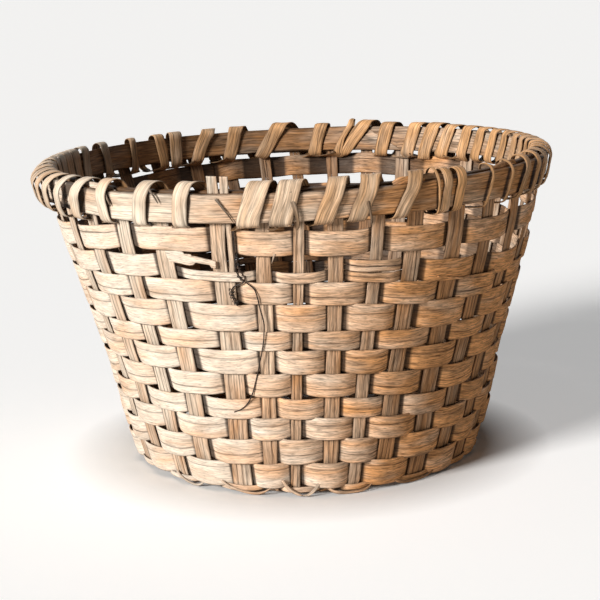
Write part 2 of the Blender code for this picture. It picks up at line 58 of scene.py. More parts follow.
# Stakes: place of each bottom splint, width in each set, and angle from a corner at the mouth
STAKE_THICKNESS = 0.0016
STAKE_PLACE_SHARES = (0.648, 0.539, 0.389, 0.168, -0.03, -0.237, -0.411, -0.548, -0.648)
STAKE_WIDTHS = {"x": (0.013, 0.0115, 0.016, 0.0185, 0.0165, 0.015, 0.0145, 0.0125, 0.012),
                "y": (0.009, 0.013, 0.019, 0.017, 0.016, 0.0165, 0.014, 0.0125, 0.012)}
RIM_DEGREES = {"x": (3.9, 13.3, 21.8, 32.3, 42.5, 54.0, 65.5, 75.5, 85.9),
               "y": (3.3, 10.9, 19.7, 34.0, 44.2, 55.0, 65.5, 75.5, 85.9)}
STAKE_TOP_BELOW_RIM = 0.003
PROUD_STAKE = ("y", 3)
PROUD_STAKE_ABOVE_RIM = 0.0135
TURN_INSET = 0.0045
TURN_HEIGHT = 0.0045
BOTTOM_MIDDLE = 0.00175
PLAIT_OFFSET = 0.00095

# Rows of weaver, bottom row first
WEAVER_THICKNESS = 0.0012
ROW_WIDTHS = (24.3, 23.4, 20.2, 18.2, 21.2, 21.7, 17.4, 24.3, 19.8, 21.2, 20.6)
ROW_SPACE = 0.0007
WIDE_SPACES = {5: 0.0034, 11: 0.0024}
BASE_WEAVER_WIDTH = 0.0055
BASE_WEAVER_SPACE = 0.0005
SPACE_UNDER_RIM = 0.0105
LAP_STAKES = 2
LAP_STARTS = (14, 21, 9, 18, 25, 12, 19, 8, 23, 16, 11, 20)
WEAVE_BEHIND = 0.0019
WEAVE_CREST = 0.0046
LAP_SHIFT = 0.0008

# How far the rows ride above their even heights, in millimetres: one line for each share of the
# height, from the lowest rows up, with a value for each angle
RIDE_ANGLES = (-180, -140, -127, -105, -85, -70, -57, -46, -30, -15, 10, 40, 80, 118, 150)
RIDE_SHARES = (0.08, 0.35, 0.55, 0.69, 0.76, 0.84)
RIDES = (
    (0, -1, -2, -3, -4, -4, -1.5, 0, -3, -6, -8, -6, 0, 0, 0),
    (0, -3, -4, -4, -3, -3, -0.5, 0, -4.5, -10.5, -13.5, -10, 0, 0, 0),
    (0, -3.5, -4.5, -4, -1, 0, 0, 0, -4, -8.5, -11.5, -9, 0, 0, 0),
    (0, -4, -5.5, -3, 1, 3, 0.5, 0, -4, -10.5, -15, -14, -3, 0, 0),
    (0, -4, -6, -3.5, 2.5, 4, 0.7, 0, -4, -11, -20, -18, -5, 0, 0),
    (0, -3, -7.5, -4.5, 4.5, 6.5, 1, 0, -1.5, -4.5, -8, -5, 4, 7, 5),
)

# The broken row keeps its lower strip; the upper strip ends beside the proud stake
BROKEN_ROW = 10
BROKEN_HEIGHT_LEFT = 0.46

# Hoops and lashing
HOOP_HEIGHT = 0.025
HOOP_THICKNESS = 0.0046
HOOP_MIDDLE = 0.0047
HOOP_FACE = 0.007
SCARF_LENGTH = 0.045
HEADER_TOP_BELOW_RIM = 0.009
HEADER_WIDTH = 0.012
LASHING_THICKNESS = 0.001

STAKE_PLACES = BASE_HALF_SIDE * np.array(STAKE_PLACE_SHARES)
STAKES_PER_SIDE = len(STAKE_PLACES)
WIDE_STAKE = 0.0155
RING = 4 * STAKES_PER_SIDE
UP = np.array([0.0, 0.0, 1.0])
WARP_ACROSS = np.array([math.cos(WARP_DIRECTION), math.sin(WARP_DIRECTION), 0.0])
WEAVE_RADIUS = 0.2


# Distance between the points of each kind of line
STAKE_STEP = 0.0016
ROW_STEP = 0.0015
LASHING_STEP = 0.0012
STRAND_STEP = 0.0008
TAIL_STEP = 0.0013
TIE_STEP = 0.0004


# Array helpers

def held(values):
    """Values kept between 0 and 1."""
    return np.clip(values, 0, 1)


def unit(vectors):
    """Each vector divided by its own length."""
    return vectors / np.maximum(np.linalg.norm(vectors, axis=-1, keepdims=True), 1e-12)


def smoothed(values, spread):
    """Values along a line, each mixed with its neighbours by a bell curve of that many samples."""
    reach = int(4 * spread) + 1
    values = np.asarray(values, float)
    flat = values.reshape(len(values), -1)
    before = 2 * flat[0] - flat[reach:0:-1]
    after = 2 * flat[-1] - flat[-2:-reach - 2:-1]
    padded = np.concatenate([before, flat, after])
    bell = np.exp(-0.5 * (np.arange(-reach, reach + 1) / spread) ** 2)
    bell /= bell.sum()
    columns = [np.convolve(column, bell, mode="valid") for column in padded.T]
    return np.stack(columns, axis=1).reshape(values.shape)


def ripple(distance, wavelength, seed):
    """A wandering value from about -1 to 1: three sines of halving wavelength, with phases from the seed."""
    draw = np.random.default_rng(seed)
    total = np.zeros_like(distance, dtype=float)
    for octave in range(3):
        length = wavelength / 2 ** octave * draw.uniform(0.8, 1.25)
        total += np.sin(2 * np.pi * distance / length + draw.uniform(0, 2 * np.pi)) / 2 ** octave
    return total / 1.75


def travelled(points):
    """Distance along a line of points."""
    return np.concatenate([[0.0], np.cumsum(np.linalg.norm(np.diff(points, axis=0), axis=1))])


def resampled(line, gone, marks):
    """A line's points at other distances along it."""
    return np.stack([np.interp(marks, gone, column) for column in np.transpose(line)], axis=1)


def along_line(points, spacing):
    """The same line with its points at an even spacing, and the distances of those points."""
    gone = travelled(points)
    marks = np.linspace(0.0, gone[-1], max(int(gone[-1] / spacing), 2) + 1)
    return resampled(points, gone, marks), marks


def smooth_curve(points, steps=24):
    """A curve through the points, each stretch a cubic that leaves each point along its neighbours."""
    points = np.asarray(points, float)
    ends = np.vstack([2 * points[0] - points[1], points, 2 * points[-1] - points[-2]])
    share = np.linspace(0.0, 1.0, steps, endpoint=False)[None, :, None]
    before, here, there, after = (ends[i:len(ends) - 3 + i, None] for i in range(4))
    curve = here + (there - before) / 2 * share
    curve = curve + (before - 2.5 * here + 2 * there - after / 2) * share ** 2
    curve = curve + ((after - before) / 2 + 1.5 * (here - there)) * share ** 3
    return np.vstack([curve.reshape(-1, points.shape[1]), points[-1:]])


# The wall's middle surface

FLARE_STEPS = np.linspace(-0.2, 1.2, 561)
FLARE_LINE = np.interp(FLARE_STEPS, FLARE_HEIGHTS, FLARE_SHARES)
FLARE_LINE = np.where(FLARE_STEPS < 0, FLARE_STEPS * 1.1, FLARE_LINE)
FLARE_LINE = np.where(FLARE_STEPS > 1, 1 + (FLARE_STEPS - 1) * 0.745, FLARE_LINE)
FLARE_CURVE = smoothed(FLARE_LINE, 14)


def wall_point(angle, share):
    """Point of the wall: a rounded square at the bottom that turns into a warped circle at the mouth."""
    angle, share = np.broadcast_arrays(np.asarray(angle, float), np.asarray(share, float))
    power = 2.0 + (BASE_SQUARENESS - 2.0) * np.maximum(1.0 - share, 0.0) ** 1.3
    flare = np.interp(share, FLARE_STEPS, FLARE_CURVE)
    radius = BASE_HALF_SIDE + (RIM_RADIUS - BASE_HALF_SIDE) * flare
    radius = radius / (np.abs(np.cos(angle)) ** power + np.abs(np.sin(angle)) ** power) ** (1 / power)
    x, y = radius * np.cos(angle), radius * np.sin(angle)
    height = share * (RIM_HEIGHT + RIM_RISE_PER_METRE * (x * WARP_ACROSS[0] + y * WARP_ACROSS[1]))
    drift = RIM_DRIFT * np.clip(share, 0, None) ** 3
    return np.stack([x - drift * WARP_ACROSS[0], y - drift * WARP_ACROSS[1], height], axis=-1)


def wall_frame(angle, share):
    """Point of the wall with its directions along the rows, up the wall and out of it."""
    step = 0.002
    along = unit(wall_point(angle + step, share) - wall_point(angle - step, share))
    rise = wall_point(angle, share + step) - wall_point(angle, share - step)
    out = unit(np.cross(along, rise))
    return wall_point(angle, share), along, np.cross(out, along), out


def row_edges():
    """Lower and upper edge of each row: the rows share the wall between the bottom turn and the rim."""
    spaces = [WIDE_SPACES.get(row, ROW_SPACE) for row in range(1, len(ROW_WIDTHS) + 1)]
    height = TURN_HEIGHT + BASE_WEAVER_SPACE + BASE_WEAVER_WIDTH
    room = RIM_HEIGHT - HOOP_HEIGHT - SPACE_UNDER_RIM - height - sum(spaces)
    edges = []
    for space, width in zip(spaces, ROW_WIDTHS):
        low = height + space
        height = low + room * width / sum(ROW_WIDTHS)
        edges.append((low / RIM_HEIGHT, height / RIM_HEIGHT))
    return edges


ROW_EDGES = row_edges()


# Each line of rides as a smooth closed curve, with a value for each degree, in metres
RIDE_CURVES = [smoothed(np.interp(np.arange(-180, 540), RIDE_ANGLES, line, period=360), 6.0)[180:540] / 1000
               for line in RIDES]


def ridden(angle, share):
    """The share of the height where a row of an even share really lies at each angle. The rides fade out
    below the lowest rows, where the basket stands on its bottom."""
    lines = [np.interp(np.degrees(angle), np.arange(360), curve, period=360) for curve in RIDE_CURVES]
    weights = np.interp(share, RIDE_SHARES, np.arange(len(RIDE_SHARES)))
    low = int(min(weights, len(lines) - 2))
    ride = lines[low] + (lines[low + 1] - lines[low]) * (weights - low)
    return share + ride / RIM_HEIGHT * min(share / RIDE_SHARES[0], 1.0)


def all_round(angles):
    """The same angles a turn back, here, and one and two turns on."""
    return np.concatenate([angles + 2 * np.pi * turn for turn in (-1, 0, 1, 2)])


# Stake ends in the order in which a weaver meets them

def bottom_edge(place):
    """Distance from the middle line to the bottom's outline at a splint's place."""
    rest = 1.0 - (abs(place) / BASE_HALF_SIDE) ** BASE_SQUARENESS
    return BASE_HALF_SIDE * rest ** (1.0 / BASE_SQUARENESS)


def ring_order():
    """Set, number, angle at the bottom, angle at the mouth and width of each stake end."""
    numbers = range(1, STAKES_PER_SIDE + 1)
    ring = []
    for side, (set_name, sense) in enumerate((("x", -1), ("y", -1), ("x", 1), ("y", 1))):
        for number in numbers[::-sense]:
            place = STAKE_PLACES[number - 1]
            corner = math.radians(90.0 * side)
            low = corner + sense * math.atan2(place, bottom_edge(place))
            high = corner + sense * math.radians(45.0 - RIM_DEGREES[set_name][number - 1]) + RIM_TWIST
            ring.append((set_name, number, low, high, STAKE_WIDTHS[set_name][number - 1]))
    return ring


RING_ENDS = ring_order()
END_LOW, END_HIGH, END_WIDTH = np.array([end[2:] for end in RING_ENDS]).T


def end_angles(share):
    """Angle of every stake end's middle line at a share of the height."""
    return END_LOW + (END_HIGH - END_LOW) * share


# Building a mesh out of strips

def make_piece(name, strips, slot, *nodes):
    """A piece that stands for CAD nodes. Each strip is given by its points, its grain, and its marks of
    painted light, shade and darker edges, with a ring of them for each station along it, and becomes one
    closed shell of the mesh."""
    quads, count = [], 0
    for ring, _, _ in strips:
        stations, size = ring.shape[:2]
        index = np.arange(count, count + stations * size).reshape(stations, size)
        count += index.size
        here, there = index[:-1], index[1:]
        turn = (here, np.roll(here, -1, axis=1), np.roll(there, -1, axis=1), there)
        quads.append(np.stack(turn, axis=-1).reshape(-1, 4))
        for row, sense in ((index[0], -1), (index[-1], 1)):
            top, under = row[:size // 2], row[::-1][:size // 2]
            quads.append(np.stack([top[:-1], top[1:], under[1:], under[:-1]], axis=-1)[:, ::sense])
    quads = np.vstack(quads)
    points, grain, wear_and_painted_light = (np.vstack([part.reshape(-1, 3) for part in parts]) for parts in zip(*strips))
    mesh = bpy.data.meshes.new(name)
    mesh.from_pydata(points, [], quads, shade_flat=False)
    for label, values in (("grain", grain), ("wear_and_painted_light", wear_and_painted_light)):
        attribute = mesh.attributes.new(label, "FLOAT_VECTOR", "POINT")
        attribute.data.foreach_set("vector", values.astype(np.float32).ravel())
    mesh.materials.append(SURFACES[slot])
    on_basket(placed(name, mesh), slot, *nodes)


def placed(name, data):
    """A new object in the scene."""
    thing = bpy.data.objects.new(name, data)
    bpy.context.scene.collection.objects.link(thing)
    return thing


def on_basket(piece, slot, *nodes):
    """The piece rides on the basket and stands for its CAD nodes. The slot it is given is not used."""
    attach(piece, BODY)
    if nodes:
        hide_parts(*nodes)


def across_strip(columns):
    """Places from -1 to 1 across a strip, closer together by its edges."""
    return np.sin(np.linspace(-np.pi / 2, np.pi / 2, columns))[None, :]


def rounded(depth):
    """Share of the full thickness at a depth of 0 to 1 radius from a rounded edge: a quarter circle."""
    return np.sqrt(held(1 - (1 - depth) ** 2))


def inner_light_and_shade(path, near, shade_and_dark, shade_lifted_where_lit):
    """Painted light and shade of an inner face: it is painted paler, and its painted shade lifted, only where
    the sun comes in across the mouth.
    """
    reached = bleach_at(-path)[:, None] ** 2.2 + 0 * near
    return np.stack([near, 0.45 * reached, shade_and_dark - shade_lifted_where_lit * reached], axis=-1)


def shell(centre, out, faces, grain, wear_and_painted_light, sense):
    """A strip's outer and inner face, each at its height over the middle surface, joined into rings."""
    outer, inner = (centre + out[:, None] * height[..., None] for height in faces)
    grain = np.stack(np.broadcast_arrays(*grain), axis=-1)
    return [np.concatenate([first, second[:, ::-1]], axis=1)[:, ::sense]
            for first, second in ((outer, inner), (grain, grain), wear_and_painted_light)]


def splint(path, across, out, left, right, thickness, seed, bleach, buried, crown=0.0, columns=9,
           round_left=1.0, round_right=1.0, inner_painted_shade=0.6, inner_buried=None):
    """One strip of split wood. Its section is a flat bar with rounded edges, from left to right across
    the path, crowned by a parabola and roughened by ripples that run with the grain."""
    def per_station(values):
        return np.broadcast_to(values, len(path))[:, None]

    place = across_strip(columns)
    middle, half = per_station((left + right) / 2), per_station((right - left) / 2)
    reach = middle + half * place
    radius = thickness / 2
    gone = travelled(path)[:, None]
    height = per_station(crown) * (1 - place ** 2)
    height = height + 0.00012 * ripple(reach * 40 + gone * 0.9, 0.12, seed) * ripple(gone, 0.09, seed + 1)
    lost = np.zeros_like(reach)
    for side, rounding in ((-1, round_left), (1, round_right)):
        depth = held(half * (1 - side * place) / radius)
        lost = np.maximum(lost, (1 - rounded(depth)) * per_station(rounding))
    fat = radius * np.clip(1 - lost, 0.12, 1)
    centre = path[:, None] + across[:, None] * reach[..., None]
    grain = (gone, reach + 0.003 * ripple(gone, 0.25, seed + 2), seed % 97)
    # Outer face: nearness to the edges, painted light, and darkening with painted shade. The inner face gets
    # more painted shade, lifted a little where the sun comes in.
    near = held(half * (1 - np.abs(place)) / 0.0016)
    outer = np.stack([near, per_station(bleach) + 0 * near, per_station(buried) + 0 * near], axis=-1)
    inner_dark_and_shade = per_station(buried if inner_buried is None else inner_buried)
    inner = inner_light_and_shade(path, near, inner_dark_and_shade + inner_painted_shade, 0.3)
    heading = np.gradient(path, axis=0)
    sense = -1 if np.sum(np.cross(across, heading) * out) < 0 else 1
    return shell(centre, out, (height + fat, height - fat), grain, (outer, inner), sense)


def wall_line(places):
    """A line along the wall through places of angle in degrees, share of the height and stand-off in
    millimetres, with its directions across itself in the wall and out of the wall."""
    places = np.array(places)
    point, _, _, out = wall_frame(np.radians(places[:, 0]), places[:, 1])
    line = smooth_curve(np.hstack([point + out * places[:, 2:] / 1000, out]), 30)
    gone = travelled(line[:, :3])
    line = resampled(line, gone, np.linspace(0.0, gone[-1], max(int(gone[-1] / STRAND_STEP), 6)))
    path, out = line[:, :3], unit(line[:, 3:])
    heading = unit(np.gradient(path, axis=0))
    across = unit(np.cross(out, heading))
    return path, across, np.cross(heading, across)


def opening(gone, start, end, widest):
    """Width of a crack along a strip: nothing outside its ends, and widest in the middle."""
    return widest * np.sin(np.pi * held((gone - start) / (end - start))) ** 1.2


def split_splint(path, across, out, half, thickness, cracks, seed, **finish):
    """The strips of a splint that has split lengthwise: each crack is (place across from 0 to 1, width
    along the path), and an edge is square where its crack is shut."""
    gone = travelled(path)
    draw = np.random.default_rng(seed)
    edges = [(-half, 0 * gone, 1.0)]
    for place, width in sorted(cracks, key=lambda crack: crack[0]):
        line = (2 * place - 1) * half + 0.0007 * ripple(gone, 0.22, seed + int(place * 100))
        edges.append((line, width, 0.35 * held(width / 0.00035)))
    edges.append((half, 0 * gone, 1.0))
    strips = []
    for (low, low_gap, low_round), (high, high_gap, high_round) in zip(edges, edges[1:]):
        shift = draw.uniform(-1, 1) * 0.0003 * held((low_gap + high_gap) / 0.0006)
        strips.append(splint(path + out * shift[:, None], across, out, low + low_gap / 2, high - high_gap / 2,
                             thickness, seed, columns=7, round_left=low_round, round_right=high_round,
                             **finish))
    return strips


# Materials

def new_material(name, roughness, metallic=0.0, specular=0.15):
    """A new material, with its node tree and its shader's inputs."""
    material = bpy.data.materials.new(name)
    material.use_nodes = True
    inputs = material.node_tree.nodes["Principled BSDF"].inputs
    inputs["Roughness"].default_value = roughness
    inputs["Metallic"].default_value = metallic
    inputs["Specular IOR Level"].default_value = specular
    return material, material.node_tree, inputs


def add_node(tree, kind, inputs=(), **settings):
    """The outputs of a new node whose inputs are linked or set."""
    node = tree.nodes.new(kind)
    for key, value in settings.items():
        setattr(node, key, value)
    for socket, value in inputs:
        if isinstance(value, bpy.types.NodeSocket):
            tree.links.new(value, node.inputs[socket])
        else:
            node.inputs[socket].default_value = value
    return node.outputs


def reckoned(operation, first, second, clamped=False):
    """Two values put together by an operation."""
    inputs = ((0, first), (1, second))
    return add_node(first.id_data, "ShaderNodeMath", inputs, operation=operation, use_clamp=clamped)[0]


def span(value, low, high, low_out=0.0, high_out=1.0):
    """The value carried from one range to another, held at the ends."""
    return add_node(value.id_data, "ShaderNodeMapRange", enumerate((value, low, high, low_out, high_out)))[0]


def mixed(share, first, second):
    """One colour over another by a share from 0 to 1."""
    inputs = ((0, share), (6, first), (7, second))
    return add_node(share.id_data, "ShaderNodeMix", inputs, data_type="RGBA")[2]


def splint_material(name, pale, warm, grey, scales, fibre, growth_start, growth_floor, roughness,
                    dark=(0.015, 0.007, 0.004, 1)):
    """Split wood. It runs from warm to pale with the painted light on it, in patches and in bands along the
    grain, with grey weather on top. Fine fibres, short dark pores, a few long growth lines and clouds then
    break its light, less where the painted light is strongest. It is darker by its edges, and by painted
    shade and other darkening."""
    material, tree, inputs = new_material(name, roughness)

    def parts(label):
        attribute = add_node(tree, "ShaderNodeAttribute", attribute_name=label)
        return add_node(tree, "ShaderNodeSeparateXYZ", [(0, attribute["Vector"])])

    def noise(far, wide, detail, seed_step):
        """Noise drawn out along the grain, with its scales per metre along and across it."""
        stretched = ((along, far), (across, wide), (seed, seed_step))
        place = add_node(tree, "ShaderNodeCombineXYZ", enumerate(times(*pair) for pair in stretched))
        return add_node(tree, "ShaderNodeTexNoise",
                        [("Vector", place[0]), ("Scale", 1.0), ("Detail", detail), ("Roughness", 0.6)])[0]

    def times(first, second):
        return reckoned("MULTIPLY", first, second)

    along, across, seed = parts("grain")
    inside_edge, bleach, buried = parts("wear_and_painted_light")
    across = reckoned("ADD", across, span(noise(22.0, 40.0, 2.0, 2.3), 0.2, 0.8, -0.0009, 0.0009))
    far, wide = scales
    fibres = noise(far, wide, 3.0, 3.7)
    pores = noise(far * 2.2, wide * 1.25, 1.0, 5.3)
    growth = noise(far * 0.28, wide * 0.62, 2.0, 8.3)
    bands = span(noise(4.0, 150.0, 2.0, 1.9), 0.3, 0.7, -0.14, 0.14)
    # Painted light: the wood runs to its pale colour on the lit side, mixed with random bands and patches.
    tone = reckoned("ADD", bleach, bands)
    patches = span(noise(14.0, 38.0, 2.0, 7.1), 0.3, 0.7, -0.38, 0.38)
    tone = reckoned("ADD", tone, patches, clamped=True)
    colour = mixed(tone, warm, pale)
    colour = mixed(span(noise(17.0, 70.0, 4.0, 9.7), 0.52, 0.72, 0.0, 0.46), colour, grey)
    # Painted highlight: the fibres, pores and clouds darken it less where the painted light is strongest.
    strongest, weakest = (span(bleach, 0.35, 0.85, end, 1 + (end - 1) * 0.5) for end in fibre)
    pore_dark = span(bleach, 0.3, 0.9, 0.56, 0.72)
    cloud, cloud_dark = noise(26.0, 90.0, 3.0, 6.1), span(bleach, 0.4, 1.0, 0.74, 0.96)
    for light in (span(fibres, 0.34, 0.66, strongest, weakest),
                  span(pores, 0.56, 0.7, 1.04, pore_dark),
                  span(growth, growth_start, growth_start + 0.12, 1.0, growth_floor),
                  span(cloud, 0.34, 0.64, cloud_dark, 1.08)):
        colour = add_node(tree, "ShaderNodeVectorMath", [(0, colour), ("Scale", light)], operation="SCALE")[0]
    colour = mixed(span(inside_edge, 0.0, 0.7, 0.5, 0.0), colour, dark)
    # Painted shade, with some plain darkening, mixed towards the dark colour.
    colour = mixed(span(buried, 0.0, 1.0, 0.0, 0.95), colour, dark)
    tree.links.new(colour, inputs["Base Color"])
    height = reckoned("SUBTRACT", times(fibres, -1.0), times(pores, 0.7))
    bump = add_node(tree, "ShaderNodeBump", [("Strength", 0.6), ("Distance", 0.0004), ("Height", height)])
    tree.links.new(bump[0], inputs["Normal"])
    tree.links.new(span(fibres, 0.3, 0.7, roughness - 0.1, roughness + 0.15), inputs["Roughness"])
    return material


# The surface of each slot: pale, warm and grey wood, scales along and across the grain, light and dark
# of the fibres, start and floor of the growth lines, and roughness
SURFACES = {
    "weaver_splint": splint_material(
        "weathered_weaver_splint", (0.88, 0.74, 0.6, 1), (0.84, 0.415, 0.172, 1), (0.4, 0.26, 0.155, 1),
        (75.0, 820.0), (1.36, 0.5), 0.63, 0.74, 0.52),
    "stake_splint": splint_material(
        "weathered_stake_splint", (0.82, 0.68, 0.535, 1), (0.63, 0.32, 0.145, 1), (0.4, 0.28, 0.19, 1),
        (34.0, 800.0), (1.34, 0.54), 0.61, 0.68, 0.55),
    "hoop_oak": splint_material(
        "weathered_hoop_oak", (0.86, 0.725, 0.58, 1), (0.59, 0.285, 0.113, 1), (0.34, 0.21, 0.125, 1),
        (40.0, 760.0), (1.4, 0.42), 0.57, 0.5, 0.52),
    "lashing_splint": splint_material(
        "weathered_lashing_splint", (0.83, 0.695, 0.548, 1), (0.74, 0.405, 0.185, 1), (0.4, 0.27, 0.17, 1),
        (34.0, 800.0), (1.38, 0.46), 0.58, 0.54, 0.5, (0.013, 0.006, 0.004, 1)),
}


def bleach_at(points):
    """Painted light: the side that faces the window light is painted pale, and the other keeps its orange.
    Between them the paleness goes on a little before it ends."""
    sunny = math.radians(243.0)
    facing = unit(points * np.array([1.0, 1.0, 0.0])) @ np.array([math.cos(sunny), math.sin(sunny), 0.0])
    between = 0.11 * np.exp(-((facing - 0.08) / 0.17) ** 2)
    return np.clip(0.21 + between + 0.84 * facing, 0.0, 0.92)


def darker_at_foot(points):
    """The wood is a little darker towards the foot."""
    return 0.12 * held(1.3 - points[..., 2] / 0.1)


# Stakes

def wave_of_row(row, ring_index):
    """1 where a row passes outside a stake end and -1 where it passes inside."""
    return 1 if (ring_index + row) % 2 == 1 else -1


def stake_wall(ring_index, top_share):
    """Middle line of a stake end from the bottom turn up to its top, with its directions along and out.
    The stake leans away a little from each row that crosses it."""
    share = np.linspace(TURN_HEIGHT / RIM_HEIGHT, top_share, 200)
    point, along, _, out = wall_frame(end_angles(share[:, None])[:, ring_index], share)
    centres = [(low + high) / 2 for low, high in ROW_EDGES]
    pushes = [-0.0004 * wave_of_row(row + 1, ring_index) for row in range(len(ROW_EDGES))]
    push = np.interp(share, [0.0] + centres + [1.0], [0.0] + pushes + [0.0])
    return point + out * push[:, None], along


def stake_bottom(set_name, number):
    """Middle line of a bottom splint, over and under the splints of the other set."""
    place = STAKE_PLACES[number - 1]
    reach = bottom_edge(place) - TURN_INSET
    line = np.linspace(-reach, reach, 240)
    along_x = set_name == "x"
    sense = 1 if along_x else -1
    crossed = np.arange(1, STAKES_PER_SIDE + 1)[::-sense]
    knots = STAKE_PLACES[crossed - 1] * sense
    over = (number + crossed + (not along_x)) % 2 == 0
    heights = BOTTOM_MIDDLE + np.where(over, PLAIT_OFFSET, -PLAIT_OFFSET)
    share = np.interp(line, knots, np.arange(len(knots)))
    step = np.floor(np.clip(share, 0, len(knots) - 1.001)).astype(int)
    ease = held((share - step - 0.3) / 0.4)
    ease = ease * ease * (3 - 2 * ease)
    height = heights[step] + (heights[step + 1] - heights[step]) * ease
    if along_x:
        return np.stack([line, 0 * line - place, height], axis=1), np.array([0.0, 1.0, 0.0])
    return np.stack([0 * line + place, line, height], axis=1), np.array([-1.0, 0.0, 0.0])


def stake_path(set_name, number):
    """A whole stake from one top to the other, with its fold rounded, and its directions."""
    high, low = (index for index, end in enumerate(RING_ENDS) if end[:2] == (set_name, number))
    above_rim = PROUD_STAKE_ABOVE_RIM if (set_name, number) == PROUD_STAKE else -STAKE_TOP_BELOW_RIM
    low_points, low_along = stake_wall(low, 1.0 + above_rim / RIM_HEIGHT)
    high_points, high_along = stake_wall(high, 1.0 - STAKE_TOP_BELOW_RIM / RIM_HEIGHT)
    bottom_points, bottom_along = stake_bottom(set_name, number)
    points = np.vstack([low_points[::-1], bottom_points, high_points])
    across = np.vstack([-low_along[::-1], np.tile(bottom_along, (len(bottom_points), 1)), high_along])
    gone = travelled(points)
    marks = np.linspace(0.0, gone[-1], int(gone[-1] / STAKE_STEP))
    points = smoothed(resampled(points, gone, marks), 1.8)
    across = smoothed(resampled(across, gone, marks), 5.0)
    heading = unit(np.gradient(points, axis=0))
    across = unit(across - heading * np.sum(across * heading, axis=1, keepdims=True))
    return points, across, np.cross(across, heading)


def random_cracks(gone, seed, how_many, width):
    """Cracks at a few places across a strip, each open along a few stretches."""
    draw = np.random.default_rng(seed)
    cracks = []
    for number in range(how_many):
        place = (number + 1 + draw.uniform(-0.28, 0.28)) / (how_many + 1)
        line = np.zeros_like(gone)
        for _ in range(5):
            start = draw.uniform(-0.1, 0.95) * gone[-1]
            length = draw.uniform(0.05, 0.3) * gone[-1]
            line = np.maximum(line, opening(gone, start, start + length, draw.uniform(0.4, 1.0) * width))
        cracks.append((place, line))
    return cracks


def rare_cracks(gone, seed):
    """One short crack or two along a weaver."""
    draw = np.random.default_rng(seed)
    line = np.zeros_like(gone)
    for _ in range(3):
        start = draw.uniform(0.0, 0.9) * gone[-1]
        line = np.maximum(line, opening(gone, start, start + draw.uniform(0.03, 0.09), 0.0005))
    return [(draw.uniform(0.25, 0.75), line)]


def make_stakes():
    for set_name, first_seed in (("x", 100), ("y", 150)):
        for number, width in enumerate(STAKE_WIDTHS[set_name], start=1):
            seed = first_seed + number * 7
            points, across, out = stake_path(set_name, number)
            gone = travelled(points)
            half = width / 2 + 0.0004 * ripple(gone, 0.15, seed)
            cracks = random_cracks(gone, seed, 1 + seed % 2 + (width > WIDE_STAKE), 0.0003)
            if (set_name, number) == PROUD_STAKE:
                cracks = proud_cracks(gone, cracks)
            # Painted light, weaker on the stakes than on the rows and weaker still low down; a little darker
            # all over and towards the foot.
            sunny = bleach_at(points)
            sunny = sunny * (0.3 + 0.5 * sunny + 0.2 * points[:, 2] / RIM_HEIGHT)
            strips = split_splint(points, across, out, half, STAKE_THICKNESS, cracks, seed, bleach=sunny,
                                  buried=0.04 + darker_at_foot(points))
            node = f"stake_{set_name}_{number}"
            make_piece(f"splint_{node}", strips, "stake_splint", node)


def proud_cracks(gone, cracks):
    """The proud stake has sprung open under the hoop and again above it."""
    below = opening(gone, 0.04, 0.095, 0.0022)
    above = 0.0026 * held(1 - gone / 0.022)
    return [(0.27, below), (0.47, above), (0.74, cracks[0][1])]


# Weavers

def row_wave(row, share, angle, swell):
    """How far a row stands out of the wall's middle. Behind a stake it lies flat on it. Over a stake it
    swells from one neighbour's edge to the other's: crest - (crest + depth) * (share of the way) ** power,
    and the power grows with the height, so that the upper rows are flatter."""
    draw = np.random.default_rng(500 + row)
    centres = end_angles(share)
    radius = np.linalg.norm(wall_point(centres, share)[:, :2], axis=1)
    half = END_WIDTH / 2 / radius
    crest = (WEAVE_CREST - 0.0024 * share) * draw.uniform(0.8, 1.15, RING) * swell
    power = 2.6 + 1.6 * share
    centres = all_round(centres)
    half, crest = np.tile(half, 4), np.tile(crest, 4)
    sign = np.array([wave_of_row(row, index % RING) for index in range(len(centres))])
    knots, values = [], []
    for index in range(1, len(centres) - 1):
        if sign[index] < 0:
            knots += list(centres[index] + half[index] * np.array((-1, 0, 1)))
            values += [-WEAVE_BEHIND, -WEAVE_BEHIND - 0.0004, -WEAVE_BEHIND]
            continue
        left = centres[index] - centres[index - 1] - half[index - 1]
        right = centres[index + 1] - centres[index] - half[index + 1]
        way = np.linspace(-0.91, 0.91, 9)
        knots += list(centres[index] + np.where(way < 0, left, right) * way)
        values += list(crest[index] - (crest[index] + WEAVE_BEHIND) * np.abs(way) ** power)
    return np.interp(angle, knots, values)


def row_path(row, share, first, last, swell=1.0):
    """Line of a row between two angles, with its directions and its stand-off from the wall. The stakes
    lean, so where the row rides up or down its wave slides along with them."""
    angle = np.linspace(first, last, int((last - first) * WEAVE_RADIUS / ROW_STEP))
    height = ridden(angle, share)
    leans = np.interp(angle, all_round(end_angles(share)), np.tile(END_HIGH - END_LOW, 4))
    wave = row_wave(row, share, angle - leans * (height - share), swell)
    spacing = (last - first) * WEAVE_RADIUS / len(angle)
    return angle, smoothed(wave, 0.0014 / spacing), *wall_frame(angle, height)


def row_lap(angle, first, last, share):
    """The first end lies inside and the last end outside, over two stakes."""
    centres = end_angles(share)
    lap = (centres[1] - centres[0] + 2 * np.pi / RING) / 2 * (LAP_STAKES + 0.6)
    start, end = (held(held(1 - way / lap) * 3) for way in (angle - first, last - angle))
    return LAP_SHIFT * (end - start)


def row_span(row, share):
    """Angles at which a row's strip starts and ends."""
    centres = end_angles(share)
    start = LAP_STARTS[row]
    before = (centres[start] + centres[start - 1]) / 2
    after = (centres[(start + LAP_STAKES) % RING] + centres[(start + LAP_STAKES - 1) % RING]) / 2
    return before, after + 2 * np.pi


